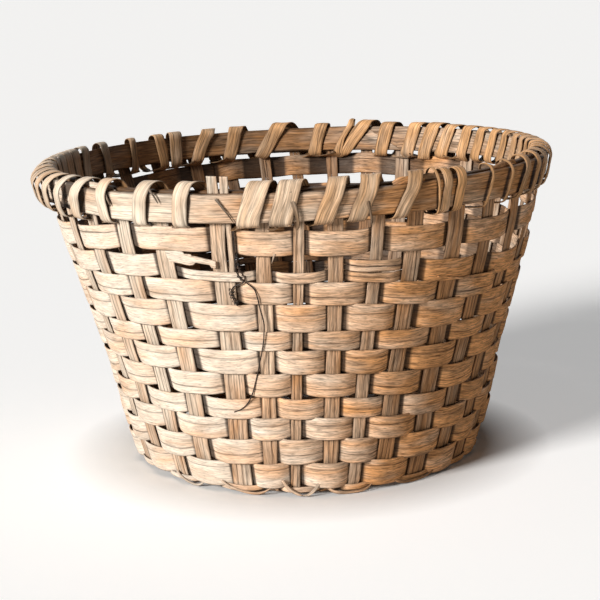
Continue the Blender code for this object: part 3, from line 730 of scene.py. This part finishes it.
def weaver(row, low_share, high_share, first, last, seed, cracks=None, swell=1.0, lapped=True):
    """The strips of a row between two angles. A lapped one narrows at its cut ends."""
    share = (low_share + high_share) / 2
    angle, wave, point, _, rise, out = row_path(row, share, first, last, swell)
    if lapped:
        wave = wave + row_lap(angle, first, last, share)
    tall = (high_share - low_share) / 2 * RIM_HEIGHT * 1.09
    gone = travelled(point)
    crest = np.clip(wave / WEAVE_CREST, -1, 1)
    low = -tall * (1 + 0.03 * crest) + 0.0006 * ripple(gone, 0.11, seed + 5)
    high = tall * (1 + 0.03 * crest) + 0.0006 * ripple(gone, 0.13, seed + 6)
    if lapped:
        taper = held(0.72 + np.minimum(angle - first, last - angle) * WEAVE_RADIUS / 0.012)
        low, high = low * taper, high * taper
    path = smoothed(point + out * wave[:, None] + rise * (-0.0006 * crest)[:, None], 1.5)
    face = unit(np.cross(unit(np.gradient(path, axis=0)), rise))
    # Painted light by its side. Painted shadow where the row dives behind a stake, wider on the side of each
    # stake that the window light leaves in shade, and darker towards the foot. The inner face gets painted
    # shade where the row stands out over a stake.
    painted_shadow_side = held(np.gradient(wave) / np.gradient(gone) * 8.0)
    buried = 0.95 * held((-0.0004 + 0.001 * painted_shadow_side - wave) / 0.0004)
    finish = {"bleach": bleach_at(path), "crown": 0.0002 + 0.0003 * ripple(gone, 0.12, seed + 3),
              "buried": np.maximum(buried, darker_at_foot(path)),
              "inner_buried": 0.5 * held((wave - 0.0002) / 0.001)}
    if not cracks:
        return [splint(path, rise, face, low, high, WEAVER_THICKNESS, seed, columns=11, **finish)]
    path, half = path + rise * ((high + low) / 2)[:, None], (high - low) / 2
    return split_splint(path, rise, face, half, WEAVER_THICKNESS, cracks(gone, angle), seed, **finish)


def make_rows():
    for row, (low, high) in enumerate(ROW_EDGES, start=1):
        if row != BROKEN_ROW:
            seed = 300 + row * 11
            ends = row_span(row, (low + high) / 2)
            strips = weaver(row, low, high, *ends, seed, lambda gone, _: rare_cracks(gone, seed))
            make_piece(f"splint_row_{row:02d}", strips, "weaver_splint", f"weaver_row_{row:02d}")


def make_broken_row():
    """The row is whole from the split's far end round the back to the stake before the proud one. From
    there its lower strip runs on, its upper strip is a torn stub, and past the gap both are split."""
    low_share, high_share = ROW_EDGES[BROKEN_ROW - 1]
    high_share -= 0.006
    split = low_share + (high_share - low_share) * BROKEN_HEIGHT_LEFT
    torn, resumed, joined = np.radians((283.4, 321.6, 338.8))
    strips = []
    for low, high, first, last, seed, cracks in (
            (low_share, high_share, joined - 2 * math.pi, torn, 410, None),
            (low_share, split - 0.0006, torn, joined, 411,
             lambda _, angle: [(0.5, opening(angle, resumed, joined - 0.1, 0.0009))]),
            (split + 0.0006, high_share, resumed, joined, 413,
             lambda _, angle: [(0.45, opening(angle, resumed - 0.1, joined, 0.0011))])):
        strips += weaver(BROKEN_ROW, low, high, first, last, seed, cracks, lapped=False)
    make_piece("splint_row_10_broken", strips + [stub()], "weaver_splint", "weaver_row_10")


def stub():
    """The torn end of the upper strip: it droops past its stake and ends in ragged teeth."""
    places = ((-77.6, 0.8, -1.0), (-75.4, 0.802, 0.4), (-73.0, 0.802, 2.2), (-70.5, 0.797, 3.0),
              (-68.0, 0.793, 3.3), (-66.0, 0.79, 3.4), (-63.9, 0.787, 3.6))
    path, across, out = wall_line(places)
    share = np.linspace(0.0, 1.0, len(path))
    teeth = np.interp(share, (0, 0.44, 0.46, 0.58, 0.6, 0.66, 0.95, 1),
                      (0, 0, 0.0016, 0.0006, 0.0018, 0.0016, 0.0026, 0.0032))
    under = np.interp(share, (0, 0.55, 0.62, 0.66, 0.9, 0.92, 1),
                      (0, 0, 0.001, 0.0036, 0.003, 0.0004, 0.0008))
    half = 0.0066 - 0.0014 * share
    # Painted light by its side, and painted shade at its root where it comes out from behind the stake.
    return splint(path, across, out, -half + under, half - teeth, WEAVER_THICKNESS, 412, columns=11,
                  bleach=bleach_at(path), crown=0.0002, buried=0.85 * held(1 - share / 0.12))


def make_base_weaver():
    low = (TURN_HEIGHT + BASE_WEAVER_SPACE) / RIM_HEIGHT
    strips = weaver(0, low, low + BASE_WEAVER_WIDTH / RIM_HEIGHT, *row_span(0, low), 290, swell=0.6)
    make_piece("splint_base_row", strips, "weaver_splint", "base_weaver")


# Rim

def rim_frame(angle):
    """The wall's middle at the mouth, with its directions along, up and out."""
    return wall_frame(angle, np.ones_like(angle))


def rim_point(angle, stand_off, rise):
    """A point by the rim: its stand-off from the wall's middle, and its height over the hoops' top."""
    point = wall_point(angle, 1.0 + np.minimum(rise, 0.0) / RIM_HEIGHT)
    return point + rim_frame(angle)[3] * stand_off[:, None] + UP * np.maximum(rise, 0.0)[:, None]


# Every wrap in the order of winding: its angle in degrees at the hoops' foot outside, over the mouth and
# at the hoops' foot inside, then its width, the height of its arch over the hoops, its bow away from
# the outer hoop and how far it hangs below, in millimetres
LASHING_WRAPS = (
    (-33.8, -30.4, -25.5, 16, 8, 1, 0), (-24.6, -20.6, -17.2, 13, 7.5, 1, 0.5),
    (-15.9, -16.4, -15.2, 2.4, 9, 2, 2), (-14.2, -13.6, -12.6, 9, 7, 0.5, 0.5),
    (-11, -9.9, -7.2, 10, 6.5, 0.5, 1), (-3.2, -1.2, 1, 3, 5, 3, 2.5), (3.4, 5.4, 8.6, 4, 5, 3.5, 2.5),
    (9.5, 13, 14.9, 9, 5.5, 2.5, 2), (16, 19, 20.2, 9, 5.5, 2.5, 2), (21.2, 24.5, 27, 10, 5, 2.5, 2),
    (27.6, 30, 31.2, 10, 5, 2.5, 1.5), (32.6, 35, 38, 11, 4.5, 2, 1.5), (37.6, 39.9, 42.8, 11, 4.5, 2, 1),
    (42.2, 45.4, 48.4, 12, 4, 1.5, 1.5), (48, 50.4, 54.6, 13, 4, 1, 1.5), (54.6, 55.8, 59.4, 13, 4, 1, 1.5),
    (58.4, 61.6, 65.8, 12, 4, 1, 1.5), (65.4, 67.5, 71.6, 13, 4, 1, 1.5), (71.8, 73.6, 77.2, 13, 4, 1, 1.5),
    (77, 79.2, 82.8, 14, 4, 1, 1.5), (84.6, 85.6, 90, 15, 4, 1, 1.5), (90, 91.4, 95.8, 16, 5, 1, 6),
    (95.6, 97.4, 101.2, 15, 4.5, 1, 2), (105, 106.2, 109.2, 15, 4.5, 1, 1.5),
    (110.6, 112.3, 119.8, 14, 6.5, 1, 1.5), (120.6, 117.6, 121.8, 6, 8, 1, 1),
    (126, 125.6, 128.4, 14, 4, 1, 1), (130.6, 135.6, 143.6, 15, 6, 1, 1.5),
    (144.4, 148.4, 152.8, 15, 5, 1, 1.5), (155.4, 156.6, 162.6, 14, 5, 1, 1.5),
    (165.2, 167, 168.8, 15, 5.5, 1, 3), (170.5, 172.4, 172.6, 13, 5, 1, 3), (176.8, 180.8, 183, 9, 5, 1, 2),
    (188, 192, 193.4, 12, 6, 1.5, 2), (198.8, 201, 203.8, 14, 6, 3, 3), (204.6, 206.6, 208.4, 16, 6, 3, 3),
    (209.2, 211.4, 213.4, 17, 6, 3.5, 3), (214.2, 216.2, 218.4, 17, 6, 4, 3),
    (219.4, 221.6, 222.8, 17, 6, 5, 3), (225.4, 227.4, 229, 17, 5.5, 6, 3),
    (230.6, 233, 234.6, 17, 5, 7, 0.5), (236, 239.2, 240.8, 17, 5, 7, 0.5),
    (241.8, 245, 246.6, 16, 5, 6.5, 0.5), (247.8, 250.6, 252, 14, 5, 6, 0.5),
    (255.2, 257.4, 260.2, 11, 6, 6.5, 2), (261.4, 264.6, 267.2, 14, 6.5, 4.5, 1.5),
    (271, 272, 277.6, 13, 7.5, 2.5, 1), (280.3, 283.1, 287.6, 14, 7.5, 1.5, 1),
    (289.9, 292, 301.8, 14, 7.5, 1, 1), (304.2, 307.4, 309.6, 19, 7.5, 1, 1),
    (310.8, 313.6, 317.8, 19, 7.5, 1, 0), (319.4, 322.9, 325, 16, 8, 1, 0),
)
# The first wrap of each of the four splints, and the end of the last
SPLINT_STARTS = (0, 13, 28, 41, 52)


def half_turned(angle):
    """The same angle, between half a turn back and half a turn on."""
    return (angle + np.pi) % (2 * np.pi) - np.pi


def painted_wrap_shadows(angle, rise):
    """Painted shadow of each wrap on the outer hoop, in the corner beside it on the side away from the
    window:
    1 under the wrap, and beyond its edge 1 / e ** ((distance / 1.4 mm) squared)."""
    dark = np.zeros(np.broadcast(angle, rise).shape)
    climbed = 0.64 + (rise / HOOP_HEIGHT + 0.12) * 0.706
    for foot, over, _, width, *_ in LASHING_WRAPS:
        middle = np.radians(foot + (over - foot) * climbed)
        apart = half_turned(angle - middle) * RIM_RADIUS * 1000 - width / 2
        dark = np.maximum(dark, np.exp(-(np.maximum(apart, 0) / 1.4) ** 2) * held(apart + width))
    return dark


def on_stretch(degrees, start, start_ease, end, end_ease):
    """1 between two angles, with the degrees in which it comes up and goes down."""
    return held((degrees - start) / start_ease) * held((end - degrees) / end_ease)


def hoop(side, scarf_angle, seed):
    """A bent flat hoop: a bar with rounded edges carried round the rim. Both ends are cut on a slant
    across its height and meet in the scarf. On the left the hoops ride up 3 mm. There the outer hoop's
    lower half stands proud, and painted shade darkens the lowest part of its face."""
    steps = 1400 if side > 0 else 900
    angle = scarf_angle + np.linspace(0.0, 2 * np.pi, steps)
    point, along, rise, out = rim_frame(angle)
    gone = travelled(point)[:, None]
    half = HOOP_HEIGHT / 2
    stand_off = side * HOOP_MIDDLE + 0.0004 * ripple(gone, 0.35, seed)
    turned = (np.degrees(angle[:, None]) + 180) % 360 - 180
    path = wall_point(angle, 1.0 - half / RIM_HEIGHT) + out * stand_off
    path = path + rise * 0.003 * np.exp(-((turned + 106.0) / 13.0) ** 2)
    place = across_strip(25)
    tall = half + 0.0006 * ripple(gone, 0.3, seed + 1)
    reach = tall * place
    slide = SCARF_LENGTH / 2 * place * (np.abs(np.linspace(-1, 1, steps)) ** 40)[:, None]
    centre = path[:, None] + rise[:, None] * reach[..., None] + along[:, None] * slide[..., None]
    fat = HOOP_THICKNESS / 2 * (0.6 + 0.4 * rounded(held(tall * (1 - np.abs(place)) / 0.0012)))
    rough = 0.00018 * ripple(reach * 30 + gone * 0.5, 0.12, seed + 2) * ripple(gone, 0.2, seed + 3)
    near = held(tall * (1 - np.abs(place)) / 0.003)
    # Painted light on the outer faces, paler on the lit side. The outer hoop gets painted shadows beside its
    # wraps and painted shade low on its face on the left; the inner hoop's outer face, between the hoops,
    # gets strong painted shade and little painted light; both inner faces get painted shade, lifted where the
    # sun comes in.
    bleach = bleach_at(path)[:, None] ** 1.8 + 0 * reach
    if side > 0:
        lip = 0.0011 * held((place + 0.02) / -0.08) * on_stretch(turned, -91.5, 1.5, -79.0, 1.0)
        painted_hollow_shade = held((-reach - 0.0065) / 0.0015) * on_stretch(turned, -118.0, 2.0, -95.0, 2.0)
        outer = (near, bleach, np.maximum(0.88 * painted_wrap_shadows(angle[:, None], reach - half), painted_hollow_shade))
    else:
        lip = 0.0
        outer = (near, 0.35 * bleach, 0.7 + 0 * reach)
    grain = (gone, reach + 0.002 * ripple(gone, 0.4, seed), seed % 97)
    wear_and_painted_light = (np.stack(outer, axis=-1), inner_light_and_shade(path, near, 0.5, 0.25))
    return shell(centre, out, (fat + rough + lip, rough - fat), grain, wear_and_painted_light, -1)


def make_hoops():
    centres = end_angles(1.0)
    for place, side, after in (("outer", 1, 29), ("inner", -1, 14)):
        strip = hoop(side, (centres[after] + centres[after + 1]) / 2, 700 + after)
        make_piece(f"bent_hoop_{place}", [strip], "hoop_oak", f"rim_hoop_{place}")


def make_header():
    high = 1.0 - HEADER_TOP_BELOW_RIM / RIM_HEIGHT
    start = end_angles(1.0)[0]
    strips = weaver(0, high - HEADER_WIDTH / RIM_HEIGHT, high, start - 0.04, start - 0.12 + 2 * np.pi, 770,
                    swell=0.0, lapped=False)
    make_piece("splint_header", strips, "weaver_splint", "rim_header_weaver")


# Lashing

def beside_stakes(angle, width):
    """The angle, moved sideways until a strip of that width clears the stake end that stands there."""
    apart = half_turned(angle - end_angles(1.0))
    nearest = np.argmin(np.abs(apart))
    clear = (END_WIDTH[nearest] + width) / 2 / RIM_RADIUS
    if abs(apart[nearest]) >= clear:
        return angle
    return angle - apart[nearest] + math.copysign(clear, apart[nearest])


def wrap_route(wrap, next_foot, next_width):
    """Route of one wrap in angle, stand-off, rise and width: from under the hoops straight up the outer
    one with a bow, over both in an arch, down the inner hoop on a slant, and out through the wall below."""
    foot, over, end, width, arch, bow, drop = wrap
    foot, over, end, next_foot = np.radians([foot, over, end, next_foot])
    width, arch, bow, drop, next_width = (value / 1000 for value in (width, arch, bow, drop, next_width))
    side = HOOP_FACE + 0.0004 + LASHING_THICKNESS / 2
    tall = HOOP_HEIGHT
    climb, fall = over - foot, end - over
    return [
        (foot, 0.0034 + bow * 0.25, -tall - 0.0034 - drop * 0.6, width),
        (foot + climb * 0.04, side - 0.0008 + bow * 0.6, -tall - 0.0002 - drop * 0.7, width),
        (foot + climb * 0.16, side + bow * 0.92, -tall * 0.8, width),
        (foot + climb * 0.4, side + 0.0003 + bow, -tall * 0.45, width),
        (foot + climb * 0.64, side + 0.001 + bow * 0.8, -0.003, width),
        (foot + climb * 0.86, side * 0.75 + bow * 0.4, arch * 0.66, width),
        (over, 0.0012, arch, width),
        (over + climb * 0.14 + fall * 0.1, -0.005, arch * 0.8, width),
        (over + climb * 0.18 + fall * 0.2, -side - 0.0012, arch * 0.05, width),
        (over + fall * 0.6, -side - 0.0008, -tall / 2, width),
        (over + fall * 0.9, -side - 0.0003, -tall - 0.0004 - drop * 0.3, (width + next_width) / 2),
        (end, -0.0048, -tall - 0.0042 - drop * 0.5, next_width),
        (beside_stakes((end + next_foot) / 2, next_width), -0.0006, -tall - 0.0048 - drop * 0.5, next_width),
    ]


def make_lashing():
    for piece, (first, last) in enumerate(zip(SPLINT_STARTS, SPLINT_STARTS[1:]), start=1):
        route = []
        for number in range(first, last):
            following = LASHING_WRAPS[(number + 1) % len(LASHING_WRAPS)]
            next_foot = following[0] + 360 * (number + 1 == len(LASHING_WRAPS))
            route += wrap_route(LASHING_WRAPS[number], next_foot, following[3])
        route = smooth_curve(route[:-1], 10)
        gone = travelled(rim_point(*route.T[:3]))
        marks = np.linspace(0.0, gone[-1], int(gone[-1] / LASHING_STEP))
        angle, stand_off, height, width = resampled(route, gone, marks).T
        points = rim_point(angle, stand_off, height)
        _, _, rise, out = rim_frame(angle)
        heading = unit(np.gradient(points, axis=0))
        in_side = np.sum(heading * out, axis=1, keepdims=True)
        in_rise = np.sum(heading * rise, axis=1, keepdims=True)
        across = unit(np.cross(heading, smoothed(unit(out * in_rise - rise * in_side), 2.0)))
        half = width / 2 + 0.0003 * ripple(marks, 0.06, 800 + piece)
        # Painted light, less on the part of each wrap inside the hoops and round 236 degrees. The part inside
        # the hoops is painted darker as shade, and the inner faces get their own painted shade.
        inside = held(0.5 - stand_off / 0.008) * held(0.4 - height / 0.006)
        shaded = 0.45 * np.exp(-((np.degrees(angle) - 236.0) / 14.0) ** 2)
        strip = splint(points, across, np.cross(across, heading), -half, half, LASHING_THICKNESS, 820 + piece,
                       bleach=bleach_at(points) * (1 - 0.5 * inside - shaded), buried=0.24 * inside,
                       crown=0.0005, inner_painted_shade=0.5)
        make_piece(f"splint_lashing_{piece}", [strip], "lashing_splint", f"lashing_{piece}")


STRAND_THICKNESS = 0.0008

# Loose strands: angle, share of the height and stand-off along each, width at both ends in
# millimetres, and how dark it is from 0 to 1
HOOP_SPLINTERS = (
    (((-61.3, 0.99, 8.6), (-59.6, 0.952, 9.4), (-58.3, 0.918, 9)), 2.4, 0.7, 0.75),
    (((-75.2, 1.018, 9.4), (-74.3, 1, 10.4), (-73.7, 0.975, 9.8)), 2.6, 1, 0.8),
    (((-87.2, 1, 8.6), (-86.7, 0.98, 9.6), (-86.4, 0.957, 9)), 2.4, 1.6, 0.6),
)
TORN_LASHING = (
    (((-46.9, 1.004, 8.6), (-46.3, 0.98, 10.2), (-45.8, 0.945, 10.6), (-45.6, 0.91, 9.4),
      (-46.1, 0.886, 7.4)), 5, 2.2, 0.55),
    (((-31.8, 0.975, 9.4), (-31.4, 0.945, 10.4), (-30.9, 0.905, 9.2), (-30.9, 0.885, 6.8)), 3, 1.4, 0.7),
)
TORN_WEAVERS = (
    (((-51, 0.815, 2.6), (-51.4, 0.801, 4.2), (-51.8, 0.786, 4.2)), 2.2, 0.4, 0.1),
    (((-13.6, 0.7, 4.2), (-7, 0.682, 4.9), (0, 0.668, 4.9), (6, 0.659, 3.4)), 2.4, 1.2, 0),
    (((-25.4, 0.992, 0.5), (-23.6, 1.003, 1), (-21, 1.004, 1.6), (-18, 0.996, 0.8)), 9, 7, 0),
    (((-19.5, 0.998, -1), (-17, 1.006, -0.6), (-12.5, 0.998, -0.8)), 7, 5, 0.35),
    (((0.5, 0.994, 0.2), (4, 1.003, 0.8), (8, 1.004, 0.6), (11, 0.995, 0.2)), 8, 6, 0),
    (((-99, 0.992, 0), (-95, 1.002, 0.6), (-90, 1.004, 0.4), (-86, 0.994, 0.2)), 8, 6, 0.1),
    (((-93, 0.04, 3.2), (-90.8, 0.026, 4.6), (-87.5, 0.013, 4.8), (-83.6, 0.012, 4.6), (-80, 0.03, 3)),
      3, 2.2, 0.35),
    (((-74, 0.04, 3.2), (-70.6, 0.024, 4.6), (-64.6, 0.012, 5), (-60.5, 0.016, 4.8), (-57.5, 0.032, 3.4)),
      3, 2.4, 0.3),
    (((-54, 0.06, 4), (-52.2, 0.038, 6), (-50, 0.021, 7), (-48, 0.013, 7.2)), 3.4, 2.6, 0.1),
    (((-43, 0.048, 4.6), (-44.4, 0.03, 6.2), (-46.2, 0.016, 7), (-48.2, 0.012, 6.6)), 3.4, 2.4, 0.15),
    (((-40.5, 0.032, 3.6), (-38.2, 0.017, 5.2), (-33.4, 0.011, 5.4), (-28.6, 0.014, 4.8), (-26, 0.03, 3)),
      3.4, 2.6, 0.3),
    (((-20, 0.034, 3.2), (-15.9, 0.016, 4.8), (-10.8, 0.011, 5), (-5.1, 0.013, 4.8), (-1, 0.028, 3.4)),
      3, 2.2, 0.35),
)


def make_strands():
    """Each strand is a thin strip along a line on the wall, as wide at each end as its table says."""
    for name, strands, slot in (("hoop_splinters", HOOP_SPLINTERS, "hoop_oak"),
                                ("torn_lashing_ends", TORN_LASHING, "lashing_splint"),
                                ("torn_weaver_ends", TORN_WEAVERS, "weaver_splint")):
        strips = []
        for number, (places, first, last, darkness) in enumerate(strands):
            path, across, out = wall_line(places)
            share = np.linspace(0.0, 1.0, len(path))
            half = (first + (last - first) * share) / 2000 * np.clip(1.02 - share ** 12, 0.1, 1)
            half = half * (1 + 0.12 * ripple(share, 0.5, 900 + number))
            # Painted light by the side each strand is on, with the table's darkness on top.
            strips.append(splint(path, across, out, -half, half, STRAND_THICKNESS, 910 + number, columns=7,
                                 bleach=bleach_at(path), buried=darkness, crown=0.0002))
        make_piece(name, strips, slot)


# Wire, and its routes in metres
WIRE_DIAMETER = 0.0011
TANGLE_DIAMETER = 0.0007
OUT_OF_FRONT = np.array([0.515, -0.857, 0.0])
TIE_STAND_OFF = 0.0028
TAIL_ROUTE = (
    (0.1162, -0.192, 0.2087), (0.1192, -0.189, 0.2058), (0.1216, -0.1852, 0.2014), (0.1224, -0.1825, 0.1936),
    (0.1214, -0.1791, 0.1836), (0.121, -0.1748, 0.1707), (0.119, -0.173, 0.16), (0.1154, -0.171, 0.1492),
    (0.1093, -0.1695, 0.1335), (0.1035, -0.1681, 0.1191), (0.0959, -0.167, 0.1019),
    (0.0897, -0.1676, 0.0919), (0.0832, -0.1693, 0.0861), (0.077, -0.1716, 0.0832),
)
TIE_ROUTE = (
    (0.116, -0.1922, 0.209), (0.1132, -0.1938, 0.212), (0.1118, -0.1952, 0.2174), (0.1113, -0.1955, 0.2231),
    (0.1114, -0.1956, 0.2293), (0.1125, -0.1969, 0.2386), (0.114, -0.1988, 0.2475),
    (0.1144, -0.1991, 0.2517), (0.1142, -0.1983, 0.2536), (0.1135, -0.1967, 0.2523),
    (0.1127, -0.1954, 0.2484), (0.111, -0.1931, 0.2375), (0.11, -0.1916, 0.2289), (0.1103, -0.1922, 0.2248),
    (0.1116, -0.1932, 0.2227), (0.1133, -0.1935, 0.2202), (0.1148, -0.1921, 0.2158),
    (0.1164, -0.1907, 0.211), (0.1142, -0.1909, 0.2071), (0.1102, -0.1922, 0.2052),
    (0.1062, -0.1933, 0.2035), (0.1031, -0.1935, 0.2004), (0.102, -0.1926, 0.1964),
    (0.1022, -0.1914, 0.1923), (0.1034, -0.1903, 0.189), (0.1055, -0.1899, 0.1879),
    (0.1068, -0.1905, 0.1895),
)


def wire_material():
    """Dark drawn steel with brown rust in patches."""
    material, tree, inputs = new_material("rusted_wire", 0.5, metallic=1.0)
    place = add_node(tree, "ShaderNodeTexCoord")["Object"]
    rust = add_node(tree, "ShaderNodeTexNoise", [("Vector", place), ("Scale", 260.0), ("Detail", 5.0)])[0]
    colour = mixed(span(rust, 0.4, 0.62), (0.055, 0.052, 0.05, 1), (0.085, 0.055, 0.04, 1))
    tree.links.new(colour, inputs["Base Color"])
    tree.links.new(span(rust, 0.4, 0.65, 1.0, 0.2), inputs["Metallic"])
    tree.links.new(span(rust, 0.35, 0.65, 0.38, 0.85), inputs["Roughness"])
    return material


def make_wire(name, lines, material, thickness, *nodes):
    """A round wire along each line of points."""
    curve = bpy.data.curves.new(name, "CURVE")
    curve.dimensions = "3D"
    curve.bevel_depth = thickness / 2
    curve.bevel_resolution = 4
    curve.use_fill_caps = True
    for points in lines:
        spline = curve.splines.new("POLY")
        spline.points.add(len(points) - 1)
        spline.points.foreach_set("co", np.hstack([points, np.ones((len(points), 1))]).ravel())
    curve.materials.append(material)
    piece = placed(name, curve)
    on_basket(piece, "steel_wire", *nodes)
    return piece


def wound(line, radius, pitch, seed=0):
    """A strand wound round a line: a circle across the line that turns once for each pitch, with its
    radius wandering a little."""
    gone = travelled(line)
    heading = unit(np.gradient(line, axis=0))
    side = unit(np.cross(heading, OUT_OF_FRONT))
    front = np.cross(side, heading)
    turn = (2 * np.pi * gone / pitch + 0.8 * ripple(gone, 0.02, 60 + seed))[:, None]
    reach = (radius * (1 + 0.35 * ripple(gone, 0.012, 70 + seed)))[:, None]
    return line + reach * (side * np.cos(turn) + front * np.sin(turn))


def make_wires():
    """The free end is one smooth wire. The tie goes round the top row, is twisted on itself below, and
    ends in a small tangle of fine turns."""
    material = wire_material()
    tail_line, marks = along_line(smooth_curve(TAIL_ROUTE), TAIL_STEP)
    tail = make_wire("loose_wire_end", [tail_line], material, WIRE_DIAMETER, "wire_tail")
    line, marks = along_line(smooth_curve(TIE_ROUTE), TIE_STEP)
    line = line + OUT_OF_FRONT * TIE_STAND_OFF * held((line[:, 2:] - 0.214) / 0.006)
    twisted = line[(marks > 0.068) & (marks < 0.094)]
    knot = line[marks < 0.008]
    tangle = line[marks > 0.112]
    make_wire("wire_tie_and_knot", [line, wound(twisted, 0.001, 0.0046), wound(knot, 0.001, 0.0042, 1)],
              material, WIRE_DIAMETER, "wire_tie")
    make_wire("wire_tangle", [wound(tangle, 0.0021, 0.0036, 2), wound(tangle, 0.0016, 0.0061, 3)],
              material, TANGLE_DIAMETER)


# Camera, floor and light

def direction_from(azimuth, elevation=0.0):
    """Direction from the basket towards a place round it, on the camera's azimuth scale."""
    turn, lift = math.radians(azimuth), math.radians(elevation)
    return Vector((math.sin(turn) * math.cos(lift), -math.cos(turn) * math.cos(lift), math.sin(lift)))


def look_along(holder, direction, roll=0.0):
    holder.rotation_mode = "QUATERNION"
    holder.rotation_quaternion = direction.to_track_quat("-Z", "Y") @ Quaternion((0, 0, 1), roll)


def make_camera():
    """The photograph's viewpoint: 44 degrees round, a little over 12 degrees down, with a slight roll."""
    azimuth, elevation, roll = 44.0, 12.17, -1.8
    distance, height, side_step = 1.5514, 0.4786, 0.003
    camera = bpy.data.cameras.new("camera")
    camera.sensor_width = 36
    camera.lens = 97.2
    camera.clip_start = 0.05
    holder = placed("camera", camera)
    holder.location = (direction_from(azimuth) * distance - direction_from(azimuth + 90.0) * side_step
                       + Vector((0, 0, height)))
    look_along(holder, -direction_from(azimuth, elevation), math.radians(roll))
    bpy.context.scene.camera = holder


def make_floor():
    """A pale floor. What the camera sees of it is lifted to white, except under the basket and round its
    foot, where the lift fades out and leaves a painted shadow.
    """
    mesh = bpy.data.meshes.new("floor")
    size = 30.0
    corners = [(-size, -size, 0), (size, -size, 0), (size, size, 0), (-size, size, 0)]
    mesh.from_pydata(corners, [], [(0, 1, 2, 3)])
    floor = placed("floor", mesh)
    floor.location.z = -0.0002
    material, tree, inputs = new_material("pale_floor", 0.8, specular=0.0)
    seen = add_node(tree, "ShaderNodeLightPath")["Is Camera Ray"]
    tree.links.new(mixed(seen, (0.45, 0.44, 0.43, 1), (0.86, 0.86, 0.86, 1)), inputs["Base Color"])
    inputs["Emission Color"].default_value = (1, 1, 1, 1)
    place = add_node(tree, "ShaderNodeTexCoord")["Object"]
    away = add_node(tree, "ShaderNodeVectorMath", [(0, place)], operation="LENGTH")["Value"]
    # Painted shadow: the lift fades out between 1.5 and 1.1 bottom half-sides from the middle.
    lift = span(away, 1.1 * BASE_HALF_SIDE, 1.5 * BASE_HALF_SIDE, 0.0, 0.4)
    tree.links.new(reckoned("MULTIPLY", seen, lift), inputs["Emission Strength"])
    mesh.materials.append(material)


def add_lamp(name, kind, azimuth, elevation, power, colour, **settings):
    """A lamp that shines on the basket from a direction round it."""
    lamp = bpy.data.lights.new(name, kind)
    lamp.energy = power
    lamp.color = colour
    for key, value in settings.items():
        setattr(lamp, key, value)
    holder = placed(name, lamp)
    look_along(holder, -direction_from(azimuth, elevation))
    return holder


def make_light():
    """A soft low sun from the left, a small warm card at the right that lights only the outside, and very
    little light from all round."""
    scene = bpy.context.scene
    scene.view_settings.view_transform = "Standard"
    scene.world = bpy.data.worlds.new("studio")
    scene.world.use_nodes = True
    tree = scene.world.node_tree
    background = tree.nodes["Background"].inputs
    rays = add_node(tree, "ShaderNodeLightPath")
    seen = reckoned("MAXIMUM", rays["Is Camera Ray"], rays["Is Glossy Ray"])
    seen = reckoned("MAXIMUM", seen, rays["Is Transmission Ray"])
    tree.links.new(span(seen, 0.0, 1.0, 0.033, 1.0), background["Strength"])
    background["Color"].default_value = (1, 1, 1, 1)
    add_lamp("window", "SUN", azimuth=-4.0, elevation=21.0, power=4.7, colour=(1.0, 0.985, 0.96),
             angle=math.radians(18.0))
    azimuth, distance, height = 70.0, 1.3, 0.13
    card = add_lamp("card", "AREA", azimuth, elevation=0.0, power=2.1, colour=(1.0, 0.92, 0.8),
                    shape="RECTANGLE", size=0.7, size_y=0.175)
    card.location = direction_from(azimuth) * distance + Vector((0, 0, height))


make_camera()
make_wires()
make_stakes()
make_rows()
make_broken_row()
make_base_weaver()
make_header()
make_hoops()
make_lashing()
make_strands()
make_floor()
make_light()
